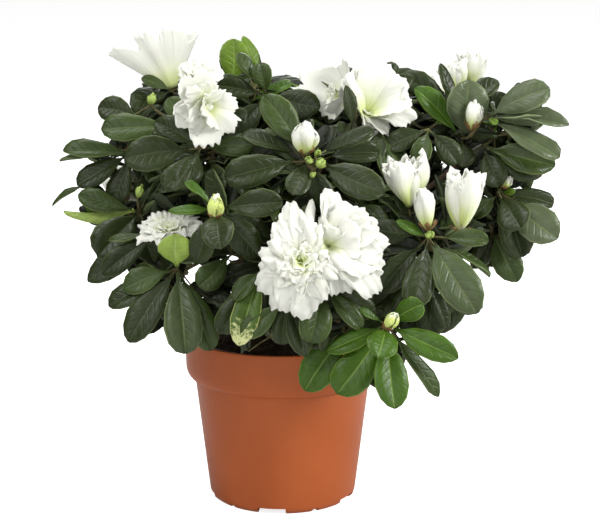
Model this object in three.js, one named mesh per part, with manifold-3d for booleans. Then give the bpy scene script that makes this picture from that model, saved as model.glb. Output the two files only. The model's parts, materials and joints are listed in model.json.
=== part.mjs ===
// A pot azalea: a plastic nursery pot filled with compost, a short stem, and boughs that spread into masses of leaves.
// Millimetres, +Z up. The origin is the centre of the pot's underside, and -Y is the side that faces the viewer.
import * as THREE from "three";
import { mergeVertices } from "three/addons/utils/BufferGeometryUtils.js";
import Module from "manifold-3d";

const wasm = await Module();
wasm.setup();

const clearance = 0.4; // free gap that keeps touching solids apart
const around = 36; // sides of the round pot and compost

const pot = {
  height: 112,
  rimRadius: 65, // outer radius at the lip
  bandFoot: 82, // height at which the rim band meets the wall
  bandRadius: 64.2, // outer radius low on the band, above its rounded shoulder
  shoulder: 9, // height of the rounded shoulder under the band
  shoulderSteps: 4,
  wallTopRadius: 58.2,
  wallFootRadius: 48.8,
  wall: 2,
  lip: 2.4, // thickness of the lip
  edgeRise: 5, // height of the rounded lower edge
  footRadius: 46, // outer radius of the ring that stands on the floor
  ringInner: 40,
  padRadius: 28, // central pad, level with the ring
  lift: 4, // height of the channel between the pad and the ring
};
const notch = { pairs: 5, wideWidth: 18.5, narrowWidth: 4.5, narrowHeight: 2.2, turn: -98.4, length: 16 };
const drain = { radius: 4.5, at: 34 };

const compost = { edgeDrop: 4, crown: 1.5, flatRadius: 12 };
const stem = { height: 36, flareRadius: 9, neckRadius: 6.6, topRadius: 6, lean: 3, sides: 10, steps: 5 };
const bough = { footRadius: 2.3, tipRadius: 1.5, sides: 6, steps: 6, lift: 22 };
const forks = { first: 0.36, second: 0.56, third: 0.76, fourth: 0.9 }; // height up the stem, as a share of it

// Each mass of leaves: where its middle is, how far it reaches along X, Y and Z, and the outermost leaf tips it runs
// out to. A mass with a bough is fed from one of the rings of forks on the stem, or from its tip; the others lean on
// their neighbours.
const masses = [
  { name: "front_left_low", at: [-68, -72, 164], reach: [40, 40, 44], tips: [[-98, -75, 123], [-47, -86, 114], [-110, -60, 143]], fork: "first" },
  { name: "left_middle", at: [-96, -16, 190], reach: [42, 42, 36], tips: [[-147, -20, 202], [-123, -40, 155]], fork: "second" },
  { name: "left_upper", at: [-98, -2, 237], reach: [38, 40, 29], tips: [[-144, -10, 230], [-117, 5, 266]], fork: "third" },
  { name: "top_left", at: [-76, 38, 278], reach: [36, 38, 26], tips: [[-63, 35, 307], [-113, 35, 289]], fork: "fourth" },
  { name: "top_centre_left", at: [-22, 22, 264], reach: [37, 38, 32], tips: [[-28, 20, 305]] },
  { name: "front_left_upper", at: [-46, -52, 245], reach: [40, 38, 34], tips: [], fork: "third" },
  { name: "front_centre_left", at: [-38, -90, 196], reach: [37, 35, 34], tips: [] },
  { name: "front_centre_upper", at: [20, -70, 236], reach: [45, 38, 34], tips: [], fork: "fourth" },
  { name: "top_centre", at: [46, 2, 260], reach: [44, 40, 30], tips: [[50, 20, 295]], fork: "tip" },
  { name: "front_centre", at: [24, -106, 184], reach: [46, 38, 38], tips: [], fork: "second" },
  { name: "front_low", at: [-14, -98, 148], reach: [38, 30, 26], tips: [[4, -112, 120]] },
  { name: "front_right_low", at: [66, -106, 134], reach: [42, 36, 30], tips: [[69, -115, 92], [99, -105, 96], [15, -130, 108], [108, -110, 121]], fork: "first" },
  { name: "right_front", at: [97, -78, 191], reach: [43, 40, 45], tips: [[114, -80, 140]], fork: "third" },
  { name: "right_middle", at: [140, -14, 193], reach: [38, 42, 36], tips: [[150, -40, 154], [179, -15, 196]], fork: "second" },
  { name: "right_upper", at: [143, -2, 248], reach: [37, 42, 31], tips: [[189, 0, 250], [178, 0, 214], [174, 5, 276]], fork: "fourth" },
  { name: "top_right", at: [114, 38, 262], reach: [38, 40, 28], tips: [[125, 50, 292]] },
  { name: "back_left_low", at: [-84, 66, 180], reach: [44, 44, 38], tips: [[-126, 92, 148]], fork: "first" },
  { name: "back_left_upper", at: [-58, 88, 236], reach: [44, 40, 34], tips: [[-100, 114, 244]] },
  { name: "back_centre_low", at: [4, 112, 180], reach: [46, 38, 40], tips: [[-6, 150, 138]], fork: "second" },
  { name: "back_centre_upper", at: [24, 82, 240], reach: [46, 42, 34], tips: [[34, 112, 268]], fork: "third" },
  { name: "back_right_low", at: [90, 88, 180], reach: [44, 42, 40], tips: [[120, 122, 140]], fork: "first" },
  { name: "back_right_upper", at: [106, 88, 232], reach: [42, 40, 34], tips: [[146, 112, 252]] },
];
const leafLobes = 9; // rounded swellings on one mass
const lobeDepth = 0.2; // how far the hollows between them lie below its reach
const massDetail = 2;
const tipWidth = 34 * Math.PI / 180; // half angle over which a mass draws out to a leaf tip

const finish = {
  pot: new THREE.MeshStandardMaterial({ color: 0xa9583a, roughness: 0.45, metalness: 0 }),
  compost: new THREE.MeshStandardMaterial({ color: 0x241b13, roughness: 0.95, metalness: 0 }),
  bark: new THREE.MeshStandardMaterial({ color: 0x5b4a38, roughness: 0.85, metalness: 0 }),
  leaves: new THREE.MeshStandardMaterial({ color: 0x3f5231, roughness: 0.5, metalness: 0 }),
};

const degrees = Math.PI / 180;
const group = new THREE.Group();

function solidOf(geometry) {
  const bare = geometry.clone();
  bare.deleteAttribute("normal");
  bare.deleteAttribute("uv");
  const welded = mergeVertices(bare, 1e-3);
  return new wasm.Manifold(
    new wasm.Mesh({
      numProp: 3,
      vertProperties: welded.attributes.position.array,
      triVerts: new Uint32Array(welded.index.array),
    }),
  );
}

function geometryOf(solid) {
  const { vertProperties, triVerts } = solid.getMesh();
  const geometry = new THREE.BufferGeometry();
  geometry.setAttribute("position", new THREE.BufferAttribute(vertProperties, 3));
  geometry.setIndex(new THREE.BufferAttribute(triVerts, 1));
  geometry.computeVertexNormals();
  return geometry;
}

function addPart(name, solid, material) {
  const mesh = new THREE.Mesh(geometryOf(solid), material);
  mesh.name = name;
  group.add(mesh);
}

// A profile of [radius, height] pairs turned round the vertical axis.
function turned(profile) {
  const points = profile.map(([radius, height]) => new THREE.Vector2(radius, height));
  return new THREE.LatheGeometry(points, around).rotateX(Math.PI / 2);
}

// Repeatable numbers from 0 to 1.
function seeded(seed) {
  let state = seed * 7919 + 17;
  return () => {
    state = (state * 16807) % 2147483647;
    return state / 2147483647;
  };
}

function wallRadiusAt(height) {
  const share = (height - pot.edgeRise) / (pot.bandFoot - pot.edgeRise);
  return pot.wallFootRadius + (pot.wallTopRadius - pot.wallFootRadius) * share;
}

function makePot() {
  const floorTop = pot.lift + pot.wall;
  const shoulder = [];
  for (let i = 1; i <= pot.shoulderSteps; i++) {
    const angle = (i / pot.shoulderSteps) * 90 * degrees;
    const width = pot.bandRadius - pot.wallTopRadius;
    shoulder.push([pot.wallTopRadius + width * Math.sin(angle), pot.bandFoot + pot.shoulder * (1 - Math.cos(angle))]);
  }
  const outside = [
    [0, 0],
    [pot.padRadius, 0],
    [pot.padRadius, pot.lift],
    [pot.ringInner, pot.lift],
    [pot.ringInner, 0],
    [pot.footRadius, 0],
    [pot.wallFootRadius - 0.8, pot.edgeRise * 0.35],
    [pot.wallFootRadius, pot.edgeRise],
    [pot.wallTopRadius, pot.bandFoot],
    ...shoulder,
    [pot.rimRadius, pot.height - 1],
    [pot.rimRadius - 0.7, pot.height],
  ];
  const inside = [
    [pot.rimRadius - pot.lip, pot.height],
    [pot.bandRadius - pot.wall - 0.6, pot.bandFoot + pot.shoulder + 2],
    [pot.wallTopRadius - pot.wall, pot.bandFoot + 2],
    [wallRadiusAt(floorTop) - pot.wall, floorTop],
    [0, floorTop],
  ];
  let body = solidOf(turned([...outside, ...inside]));
  const middle = (pot.ringInner + pot.footRadius) / 2 + 2;
  const step = 360 / (notch.pairs * 2);
  for (let i = 0; i < notch.pairs * 2; i++) {
    const wide = i % 2 === 0;
    const width = wide ? notch.wideWidth : notch.narrowWidth;
    const height = wide ? pot.lift : notch.narrowHeight;
    const cutter = new THREE.BoxGeometry(notch.length, width, 2 * height);
    cutter.translate(middle, 0, 0);
    cutter.rotateZ((notch.turn + i * step) * degrees);
    body = body.subtract(solidOf(cutter));
    if (!wide) continue;
    const hole = new THREE.CylinderGeometry(drain.radius, drain.radius, 3 * pot.lift, 12);
    hole.rotateX(Math.PI / 2);
    hole.translate(drain.at, 0, pot.lift);
    hole.rotateZ((notch.turn + i * step) * degrees);
    body = body.subtract(solidOf(hole));
  }
  return body;
}

const compostTop = pot.height + compost.crown;

function makeCompost() {
  const floor = pot.lift + pot.wall + clearance;
  const clear = pot.wall + clearance;
  const edge = pot.height - compost.edgeDrop;
  const bandInner = pot.bandRadius - clear - 0.6;
  return solidOf(
    turned([
      [0, floor],
      [wallRadiusAt(floor) - clear, floor],
      [pot.wallTopRadius - clear, pot.bandFoot + 2],
      [bandInner, pot.bandFoot + pot.shoulder + 2],
      [bandInner, edge],
      [bandInner * 0.75, edge + 2.2],
      [compost.flatRadius * 2, compostTop - 0.8],
      [compost.flatRadius, compostTop],
      [0, compostTop],
    ]),
  );
}

// A round limb that tapers along a curve: a closed cylinder whose rings are set across the curve.
function limb(curve, radiusAt, sides, steps) {
  const geometry = new THREE.CylinderGeometry(1, 1, 1, sides, steps);
  const position = geometry.getAttribute("position");
  const point = new THREE.Vector3();
  const reference = new THREE.Vector3(0.31, 0.17, 0.93).normalize();
  for (let i = 0; i < position.count; i++) {
    const along = Math.min(1, Math.max(0, position.getY(i) + 0.5));
    const tangent = curve.getTangent(along);
    const side = new THREE.Vector3().crossVectors(reference, tangent).normalize();
    const across = new THREE.Vector3().crossVectors(tangent, side);
    const radius = radiusAt(along);
    curve.getPoint(along, point);
    point.addScaledVector(side, position.getZ(i) * radius);
    point.addScaledVector(across, position.getX(i) * radius);
    position.setXYZ(i, point.x, point.y, point.z);
  }
  return geometry;
}

const stemFoot = new THREE.Vector3(0, 0, compostTop + clearance);
const stemTip = new THREE.Vector3(stem.lean, 0, stemFoot.z + stem.height);

function makeStem(extra) {
  const top = stemTip.clone().addScaledVector(stemTip.clone().sub(stemFoot).normalize(), extra);
  const curve = new THREE.LineCurve3(stemFoot, top);
  const radiusAt = (along) => {
    const flare = Math.max(0, 1 - along * 4) ** 2 * (stem.flareRadius - stem.neckRadius);
    return stem.neckRadius + (stem.topRadius - stem.neckRadius) * along + flare + extra;
  };
  const shape = limb(curve, radiusAt, stem.sides, stem.steps);
  const position = shape.getAttribute("position");
  for (let i = 0; i < position.count; i++) {
    if (position.getZ(i) < stemFoot.z) position.setZ(i, stemFoot.z);
  }
  return solidOf(shape);
}

// A rounded mass whose surface swells and sinks, drawn out to a point at each of its leaf tips.
function makeMass(mass, index, extra) {
  const random = seeded(index + 1);
  const lobes = [];
  for (let i = 0; i < leafLobes; i++) {
    const height = 1 - (2 * (i + 0.5)) / leafLobes;
    const turn = i * 2.39996 + random() * 0.9;
    const flat = Math.sqrt(1 - height * height);
    lobes.push(new THREE.Vector3(Math.cos(turn) * flat, Math.sin(turn) * flat, height));
  }
  const middle = new THREE.Vector3(...mass.at);
  const reach = new THREE.Vector3(...mass.reach).addScalar(extra);
  const geometry = new THREE.IcosahedronGeometry(1, massDetail);
  const position = geometry.getAttribute("position");
  const directions = [];
  for (let i = 0; i < position.count; i++) directions.push(new THREE.Vector3().fromBufferAttribute(position, i).normalize());
  const tips = mass.tips.map((tip) => {
    const ray = new THREE.Vector3(...tip).sub(middle);
    ray.setLength(ray.length() + extra).divide(reach);
    const heading = ray.clone().normalize();
    const closest = Math.max(...directions.map((direction) => direction.dot(heading)));
    return { ray, heading, closest, length: ray.length() };
  });
  directions.forEach((direction, i) => {
    const nearest = Math.max(...lobes.map((lobe) => lobe.dot(direction)));
    const point = direction.clone().multiplyScalar(1 - lobeDepth * Math.min(1, (1 - nearest) * 3.2));
    for (const tip of tips) {
      const along = direction.dot(tip.heading);
      const near = Math.max(0, 1 - Math.acos(Math.min(1, along)) / tipWidth);
      if (along > tip.closest - 1e-5) point.copy(tip.ray);
      else if (near > 0) point.lerp(direction.clone().multiplyScalar(tip.length), near * near);
    }
    point.multiply(reach).add(middle);
    position.setXYZ(i, point.x, point.y, point.z);
  });
  return solidOf(geometry);
}

function largestPiece(solid) {
  return solid.decompose().reduce((a, b) => (a.volume() > b.volume() ? a : b));
}

// The piece of a cut limb that begins nearest to a point.
function nearestPiece(solid, point) {
  const pieces = solid.decompose();
  const distance = (piece) => {
    const { vertProperties } = piece.getMesh();
    let best = Infinity;
    for (let i = 0; i < vertProperties.length; i += 3) {
      best = Math.min(best, point.distanceTo(new THREE.Vector3().fromArray(vertProperties, i)));
    }
    return best;
  };
  return pieces.reduce((a, b) => (distance(a) < distance(b) ? a : b));
}

function makeBough(mass, stemCutter, massCutters) {
  const target = new THREE.Vector3(...mass.at);
  const leader = mass.fork === "tip";
  const start = new THREE.Vector3().lerpVectors(stemFoot, stemTip, leader ? 0.99 : forks[mass.fork]);
  const outward = target.clone().sub(start);
  const level = new THREE.Vector3(outward.x, outward.y, 0).normalize();
  if (!leader) start.addScaledVector(level, stem.topRadius - 2);
  const bend = start.clone().addScaledVector(outward, 0.45);
  bend.z = start.z + outward.z * 0.45 + (leader ? bough.lift : -bough.lift * 0.3);
  const curve = new THREE.QuadraticBezierCurve3(start, bend, target);
  const radiusAt = (along) => bough.footRadius + (bough.tipRadius - bough.footRadius) * along;
  let solid = solidOf(limb(curve, radiusAt, bough.sides, bough.steps)).subtract(stemCutter);
  for (const cutter of massCutters) solid = solid.subtract(cutter);
  return nearestPiece(solid, start);
}

addPart("pot", makePot(), finish.pot);
addPart("compost", makeCompost(), finish.compost);
addPart("stem", makeStem(0), finish.bark);

const stemCutter = makeStem(clearance);
const massCutters = masses.map((mass, index) => makeMass(mass, index, clearance));
masses.forEach((mass, index) => {
  let solid = makeMass(mass, index, 0);
  for (let earlier = 0; earlier < index; earlier++) solid = solid.subtract(massCutters[earlier]);
  addPart("foliage_" + mass.name, largestPiece(solid), finish.leaves);
});
for (const mass of masses.filter((m) => m.fork)) {
  addPart("bough_" + mass.name, makeBough(mass, stemCutter, massCutters), finish.bark);
}

export default group;
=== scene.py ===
import json
import math

import bmesh
import bpy
import numpy as np
from mathutils import Matrix, Vector, noise
from mathutils.bvhtree import BVHTree

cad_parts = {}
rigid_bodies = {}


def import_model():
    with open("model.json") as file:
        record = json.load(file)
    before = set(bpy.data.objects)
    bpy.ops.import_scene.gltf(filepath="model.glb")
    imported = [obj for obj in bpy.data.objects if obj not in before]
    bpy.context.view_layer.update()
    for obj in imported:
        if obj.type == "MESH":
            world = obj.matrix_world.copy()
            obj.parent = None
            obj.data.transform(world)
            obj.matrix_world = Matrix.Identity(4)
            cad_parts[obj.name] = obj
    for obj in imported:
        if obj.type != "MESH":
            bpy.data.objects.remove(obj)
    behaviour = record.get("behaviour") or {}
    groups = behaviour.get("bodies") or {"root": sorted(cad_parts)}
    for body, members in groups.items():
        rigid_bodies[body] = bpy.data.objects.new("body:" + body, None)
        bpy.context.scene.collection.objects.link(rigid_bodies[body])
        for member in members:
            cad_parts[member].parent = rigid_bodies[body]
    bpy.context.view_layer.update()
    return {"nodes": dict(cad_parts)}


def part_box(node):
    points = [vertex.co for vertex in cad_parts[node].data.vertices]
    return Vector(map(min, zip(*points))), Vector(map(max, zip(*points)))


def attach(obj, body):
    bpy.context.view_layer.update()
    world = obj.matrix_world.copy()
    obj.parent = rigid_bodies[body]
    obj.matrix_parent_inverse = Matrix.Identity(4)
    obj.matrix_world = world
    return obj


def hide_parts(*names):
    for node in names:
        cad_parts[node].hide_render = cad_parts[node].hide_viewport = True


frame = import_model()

# A white azalea in its nursery pot, in metres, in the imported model's frame: +Z is up and -Y is the front.
mm = 0.001
foliageNodes = sorted(name for name in frame["nodes"] if name.startswith("foliage_"))
boughNodes = sorted(name for name in frame["nodes"] if name.startswith("bough_"))
random = np.random.default_rng(23)  # every free choice below is drawn from this, in order


# small helpers

def unit(vector):
    vector = np.asarray(vector, float)
    return vector / max(np.linalg.norm(vector), 1e-12)


def smoothStep(low, high, value):
    share = np.clip((np.asarray(value, float) - low) / (high - low), 0, 1)
    return share * share * (3 - 2 * share)


def boxOf(node):
    low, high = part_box(node)
    return np.array(low), np.array(high)


def middleOf(node):
    low, high = boxOf(node)
    return (low + high) / 2


def turnAbout(vector, axis, degrees):
    return np.array(Matrix.Rotation(math.radians(degrees), 3, Vector(axis)) @ Vector(vector))


def newPiece(name, points, faces):
    mesh = bpy.data.meshes.new(name)
    mesh.from_pydata(np.asarray(points, float).tolist(), [], [list(map(int, face)) for face in faces])
    mesh.polygons.foreach_set("use_smooth", [True] * len(mesh.polygons))
    piece = bpy.data.objects.new(name, mesh)
    bpy.context.scene.collection.objects.link(piece)
    return piece


def addAttribute(mesh, name, kind, domain, field, values):
    attribute = mesh.attributes.new(name, kind, domain)
    attribute.data.foreach_set(field, np.asarray(values).ravel())


# a UV map from one place for each point
def givePointUV(mesh, places):
    index = np.empty(len(mesh.loops), np.int32)
    mesh.loops.foreach_get("vertex_index", index)
    uv = mesh.uv_layers.new(name="UVMap")
    uv.data.foreach_set("uv", np.asarray(places, np.float32)[index].ravel())


# quads of a grid of points, row after row; closed joins the last column to the first
def gridFaces(rows, columns, start=0, closed=False):
    faces = []
    for row in range(rows - 1):
        for column in range(columns if closed else columns - 1):
            a = start + row * columns + column
            b = start + row * columns + (column + 1) % columns
            faces.append((a, b, b + columns, a + columns))
    return faces


def addNode(tree, kind, values=None, **settings):
    made = tree.nodes.new(kind)
    for name, value in settings.items():
        setattr(made, name, value)
    for socket, value in (values or {}).items():
        if isinstance(value, bpy.types.NodeSocket):
            tree.links.new(value, made.inputs[socket])
        else:
            made.inputs[socket].default_value = value
    return made


def calc(tree, operation, *values):
    return addNode(tree, "ShaderNodeMath", dict(enumerate(values)), operation=operation).outputs[0]


# camera, floor and studio light

view = {
    "aim": (0.0117, 0.0, 0.1577),
    "pitch": 13,  # degrees that the camera looks down
    "distance": 1.4,
    "lens": 127.3,
    "sensor": 36,
}
right = np.array((1.0, 0.0, 0.0))  # the three ways of the front view, used to set the leading shoots
near = np.array((0.0, -math.cos(math.radians(view["pitch"])), math.sin(math.radians(view["pitch"]))))
up = np.cross(near, right)


def makeCamera():
    data = bpy.data.cameras.new("frontCamera")
    data.lens = view["lens"]
    data.sensor_width = view["sensor"]
    camera = bpy.data.objects.new("frontCamera", data)
    camera.location = Vector(view["aim"]) + Vector(near) * view["distance"]
    camera.rotation_euler = (math.radians(90 - view["pitch"]), 0, 0)
    bpy.context.scene.collection.objects.link(camera)
    bpy.context.scene.camera = camera


studio = {
    "world": 0.21,  # strength of the light that comes from all round
    "backdrop": 1.0,  # what the camera sees past the floor
    "floorRadius": 6.0,
    "floorSides": 96,
    "floorColour": (0.66, 0.66, 0.655, 1),
    "floorGlow": 0.80,  # lifts the floor to near white for the camera alone
}
softLights = [  # name, place, size, watts
    ("keyLight", (1.32, -0.56, 0.95), 0.6, 26),
    ("fillLight", (-0.75, -0.95, 1.4), 0.8, 14),
    ("topLight", (-0.15, 0.1, 1.5), 0.8, 12),
    ("backLight", (0.3, 1.3, 0.9), 0.9, 10),
    ("frontLight", (-0.15, -1.7, 0.6), 1.0, 7.5),
]


def makeStudio():
    world = bpy.data.worlds.new("studioWorld")
    bpy.context.scene.world = world
    world.use_nodes = True
    tree = world.node_tree
    tree.nodes.clear()
    path = addNode(tree, "ShaderNodeLightPath")
    strength = addNode(tree, "ShaderNodeMix", {
        0: path.outputs["Is Camera Ray"], 2: studio["world"], 3: studio["backdrop"]})
    light = addNode(tree, "ShaderNodeBackground", {"Color": (1, 1, 1, 1), "Strength": strength.outputs[0]})
    addNode(tree, "ShaderNodeOutputWorld", {"Surface": light.outputs[0]})

    turns = np.linspace(0, 2 * math.pi, studio["floorSides"], endpoint=False)
    ring = np.c_[np.cos(turns), np.sin(turns), 0 * turns] * studio["floorRadius"]
    floor = newPiece("studioFloor", ring, [range(len(ring))])
    material = bpy.data.materials.new("paleFloor")
    material.use_nodes = True
    shader = material.node_tree.nodes["Principled BSDF"]
    shader.inputs["Base Color"].default_value = studio["floorColour"]
    shader.inputs["Roughness"].default_value = 0.8
    shader.inputs["Specular IOR Level"].default_value = 0.2
    shader.inputs["Emission Color"].default_value = (1, 1, 1, 1)
    tree = material.node_tree
    seen = addNode(tree, "ShaderNodeLightPath").outputs["Is Camera Ray"]
    tree.links.new(calc(tree, "MULTIPLY", seen, studio["floorGlow"]), shader.inputs["Emission Strength"])
    floor.data.materials.append(material)

    aim = Vector(view["aim"])
    for name, place, size, watts in softLights:
        data = bpy.data.lights.new(name, "AREA")
        data.shape = "DISK"
        data.size = size
        data.energy = watts
        light = bpy.data.objects.new(name, data)
        light.location = place
        light.rotation_euler = (aim - Vector(place)).to_track_quat("-Z", "Y").to_euler()
        bpy.context.scene.collection.objects.link(light)


makeCamera()
makeStudio()
bpy.context.scene.view_settings.view_transform = "Standard"
print("studio ready")


# shader groups: effects that several finishes share

def shaderGroup(name, inputs, outputs):
    group = bpy.data.node_groups.new(name, "ShaderNodeTree")
    for label, value in inputs.items():
        socket = group.interface.new_socket(label, in_out="INPUT", socket_type="NodeSocketFloat")
        socket.default_value = value
    for label in outputs:
        group.interface.new_socket(label, in_out="OUTPUT", socket_type="NodeSocketFloat")
    return group, group.nodes.new("NodeGroupInput"), group.nodes.new("NodeGroupOutput")


# blotches and fine grain in the solid, for any finish
def makeMottle():
    inputs = {"Blotch Scale": 60, "Grain Scale": 600}
    group, given, result = shaderGroup("mottle", inputs, ("Blotch", "Grain"))
    place = addNode(group, "ShaderNodeTexCoord").outputs["Object"]
    blotch = addNode(group, "ShaderNodeTexNoise", {"Vector": place, "Scale": given.outputs[0], "Detail": 3.0})
    grain = addNode(group, "ShaderNodeTexNoise", {"Vector": place, "Scale": given.outputs[1], "Detail": 2.0})
    group.links.new(blotch.outputs[0], result.inputs[0])
    group.links.new(grain.outputs[0], result.inputs[1])
    return group


# side veins that slant forward from the midrib, in the blade's own UV map
def makeLeafVeins():
    group, given, result = shaderGroup("leafVeins", {"Pairs": 7, "Slant": 1.7}, ("Line",))
    place = addNode(group, "ShaderNodeUVMap", uv_map="UVMap").outputs[0]
    parts = addNode(group, "ShaderNodeSeparateXYZ", {0: place})
    side = calc(group, "ABSOLUTE", calc(group, "MULTIPLY_ADD", parts.outputs[0], 2.0, -1.0))
    along = calc(group, "MULTIPLY", parts.outputs[1], given.outputs[0])
    slanted = calc(group, "SUBTRACT", along, calc(group, "MULTIPLY", side, given.outputs[1]))
    wave = calc(group, "COSINE", calc(group, "MULTIPLY", slanted, 2 * math.pi))
    line = calc(group, "POWER", calc(group, "MAXIMUM", wave, 0.0), 5.0)
    fade = calc(group, "SUBTRACT", 1.0, calc(group, "POWER", side, 3.0))
    group.links.new(calc(group, "MULTIPLY", line, fade), result.inputs[0])
    return group


# fine streaks that run along a part, in its UV map
def makeLengthwise():
    group, given, result = shaderGroup("lengthwise", {"Streaks": 30, "Stretch": 3}, ("Streak",))
    place = addNode(group, "ShaderNodeUVMap", uv_map="UVMap").outputs[0]
    scale = addNode(group, "ShaderNodeCombineXYZ", {0: given.outputs[0], 1: given.outputs[1], 2: 1.0})
    spread = addNode(group, "ShaderNodeVectorMath", {0: place, 1: scale.outputs[0]}, operation="MULTIPLY")
    streak = addNode(group, "ShaderNodeTexNoise", {"Vector": spread.outputs[0], "Scale": 1.0, "Detail": 2.0})
    group.links.new(streak.outputs[0], result.inputs[0])
    return group


mottle = makeMottle()
leafVeins = makeLeafVeins()
lengthwise = makeLengthwise()


def newFinish(name, colour, roughness, **uniform):
    material = bpy.data.materials.new(name)
    material.use_nodes = True
    shader = material.node_tree.nodes["Principled BSDF"]
    shader.inputs["Base Color"].default_value = (*colour, 1)
    shader.inputs["Roughness"].default_value = roughness
    for label, value in uniform.items():
        shader.inputs[label.replace("_", " ")].default_value = value
    return material, material.node_tree, shader


def placeGroup(tree, group, **values):
    node = addNode(tree, "ShaderNodeGroup", node_tree=group)
    for label, value in values.items():
        node.inputs[label.replace("_", " ")].default_value = value
    return node


# first where the mask is low, second where it is high
def blendColours(tree, mask, first, second, low=0.35, high=0.65):
    ramp = addNode(tree, "ShaderNodeValToRGB", {0: mask})
    ramp.color_ramp.elements[0].position = low
    ramp.color_ramp.elements[1].position = high
    ramp.color_ramp.elements[0].color = (*first, 1)
    ramp.color_ramp.elements[1].color = (*second, 1)
    return ramp.outputs[0]


# the mask carried to a range of values, for roughness
def spreadValue(tree, mask, low, high):
    return addNode(tree, "ShaderNodeMapRange", {0: mask, 1: 0.3, 2: 0.7, 3: low, 4: high}).outputs[0]


def addBump(tree, shader, height, distance):
    bump = addNode(tree, "ShaderNodeBump", {"Height": height, "Distance": distance, "Strength": 1.0})
    tree.links.new(bump.outputs[0], shader.inputs["Normal"])


# colour, roughness spread by a mask, and relief from a height
def dress(tree, shader, colour, mask, roughness, height, relief):
    tree.links.new(colour, shader.inputs["Base Color"])
    tree.links.new(spreadValue(tree, mask, *roughness), shader.inputs["Roughness"])
    addBump(tree, shader, height, relief)


def tinted(colour, factor):
    return tuple(min(1.0, channel * factor) for channel in colour)


# nursery pot: satin plastic, turned round the vertical axis, with cut notches and drain holes

pot = {
    "around": 168,
    "height": 112 * mm,
    "lipRadius": 65 * mm,
    "lipWall": 2.4 * mm,
    "lipRound": 0.7 * mm,
    "bandFoot": 82 * mm,  # where the rim band meets the wall
    "bandRadius": 64.2 * mm,
    "shoulder": 9 * mm,  # height of the rounded shoulder under the band
    "wallTop": 58.2 * mm,
    "wallFoot": 48.8 * mm,
    "wall": 2 * mm,
    "edgeRise": 5 * mm,
    "foot": 46 * mm,
    "footRound": 0.5 * mm,
    "ringInner": 40 * mm,
    "pad": 28 * mm,
    "lift": 4 * mm,  # height of the channel under the pot
    "pairs": 5,  # wide and narrow notches in the foot ring
    "wideNotch": 18.5 * mm,
    "narrowNotch": 4.5 * mm,
    "narrowHeight": 2.2 * mm,
    "notchTurn": -98.4,
    "drainRadius": 4.5 * mm,
    "drainAt": 34 * mm,
    "drainSides": 28,
    "colour": (0.340, 0.073, 0.014),
    "paleColour": (0.382, 0.089, 0.020),
    "roughness": (0.36, 0.46),
    "sharp": 38,  # degrees between faces from which an edge is sharp
}


def arcPoints(centre, radius, start, end, steps):
    angles = np.radians(np.linspace(start, end, steps))
    return [(centre[0] + radius * math.cos(a), centre[1] + radius * math.sin(a)) for a in angles]


def wallAt(height):
    share = (height - pot["edgeRise"]) / (pot["bandFoot"] - pot["edgeRise"])
    return pot["wallFoot"] + (pot["wallTop"] - pot["wallFoot"]) * share


def potProfile():
    pad, ring, lift, top = pot["pad"], pot["ringInner"], pot["lift"], pot["height"]
    footRound, lipRound = pot["footRound"], pot["lipRound"]
    floorTop = lift + pot["wall"]
    width = pot["bandRadius"] - pot["wallTop"]
    outside = [(0, 0), (pad - footRound, 0)]
    outside += arcPoints((pad - footRound, footRound), footRound, -60, 0, 3)
    outside += [(pad, lift), (ring, lift), (ring, footRound)]
    outside += arcPoints((ring + footRound, footRound), footRound, 210, 270, 3)
    outside += arcPoints((pot["foot"] - footRound, footRound), footRound, 270, 320, 3)
    outside += [(pot["wallFoot"] - 0.8 * mm, pot["edgeRise"] * 0.35),
                (pot["wallFoot"] - 0.2 * mm, pot["edgeRise"] * 0.75)]
    outside += [(wallAt(h), h) for h in np.linspace(pot["edgeRise"], pot["bandFoot"] - 0.4 * mm, 8)]
    for turn in np.radians(np.linspace(0, 90, 9)):  # the shoulder swells out to the band
        height = pot["bandFoot"] + pot["shoulder"] * (1 - math.cos(turn))
        outside.append((pot["wallTop"] + width * math.sin(turn), height))
    outside += [(pot["bandRadius"] + 0.2 * mm, top - 14 * mm), (pot["lipRadius"] - 0.15 * mm, top - 3 * mm)]
    outside += arcPoints((pot["lipRadius"] - lipRound, top - lipRound), lipRound, 0, 90, 5)
    inside = arcPoints((pot["lipRadius"] - pot["lipWall"] + lipRound, top - lipRound), lipRound, 90, 180, 4)
    inside += [
        (pot["bandRadius"] - pot["wall"] - 0.6 * mm, pot["bandFoot"] + pot["shoulder"] + 2 * mm),
        (pot["wallTop"] - pot["wall"], pot["bandFoot"] + 2 * mm),
        (wallAt(floorTop) - pot["wall"], floorTop),
        (0, floorTop),
    ]
    return outside + inside


# a closed solid from a profile of (radius, height) that starts and ends on the axis
def turnedSolid(profile, around):
    turns = np.linspace(0, 2 * math.pi, around, endpoint=False)
    points = [(0, 0, profile[0][1])]
    for radius, height in profile[1:-1]:
        points += [(radius * math.cos(t), radius * math.sin(t), height) for t in turns]
    points.append((0, 0, profile[-1][1]))
    rings = len(profile) - 2
    last = len(points) - 1
    faces = gridFaces(rings, around, start=1, closed=True)
    for i in range(around):
        j = (i + 1) % around
        faces.append((0, 1 + j, 1 + i))
        faces.append((last, 1 + (rings - 1) * around + i, 1 + (rings - 1) * around + j))
    return points, faces


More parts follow.
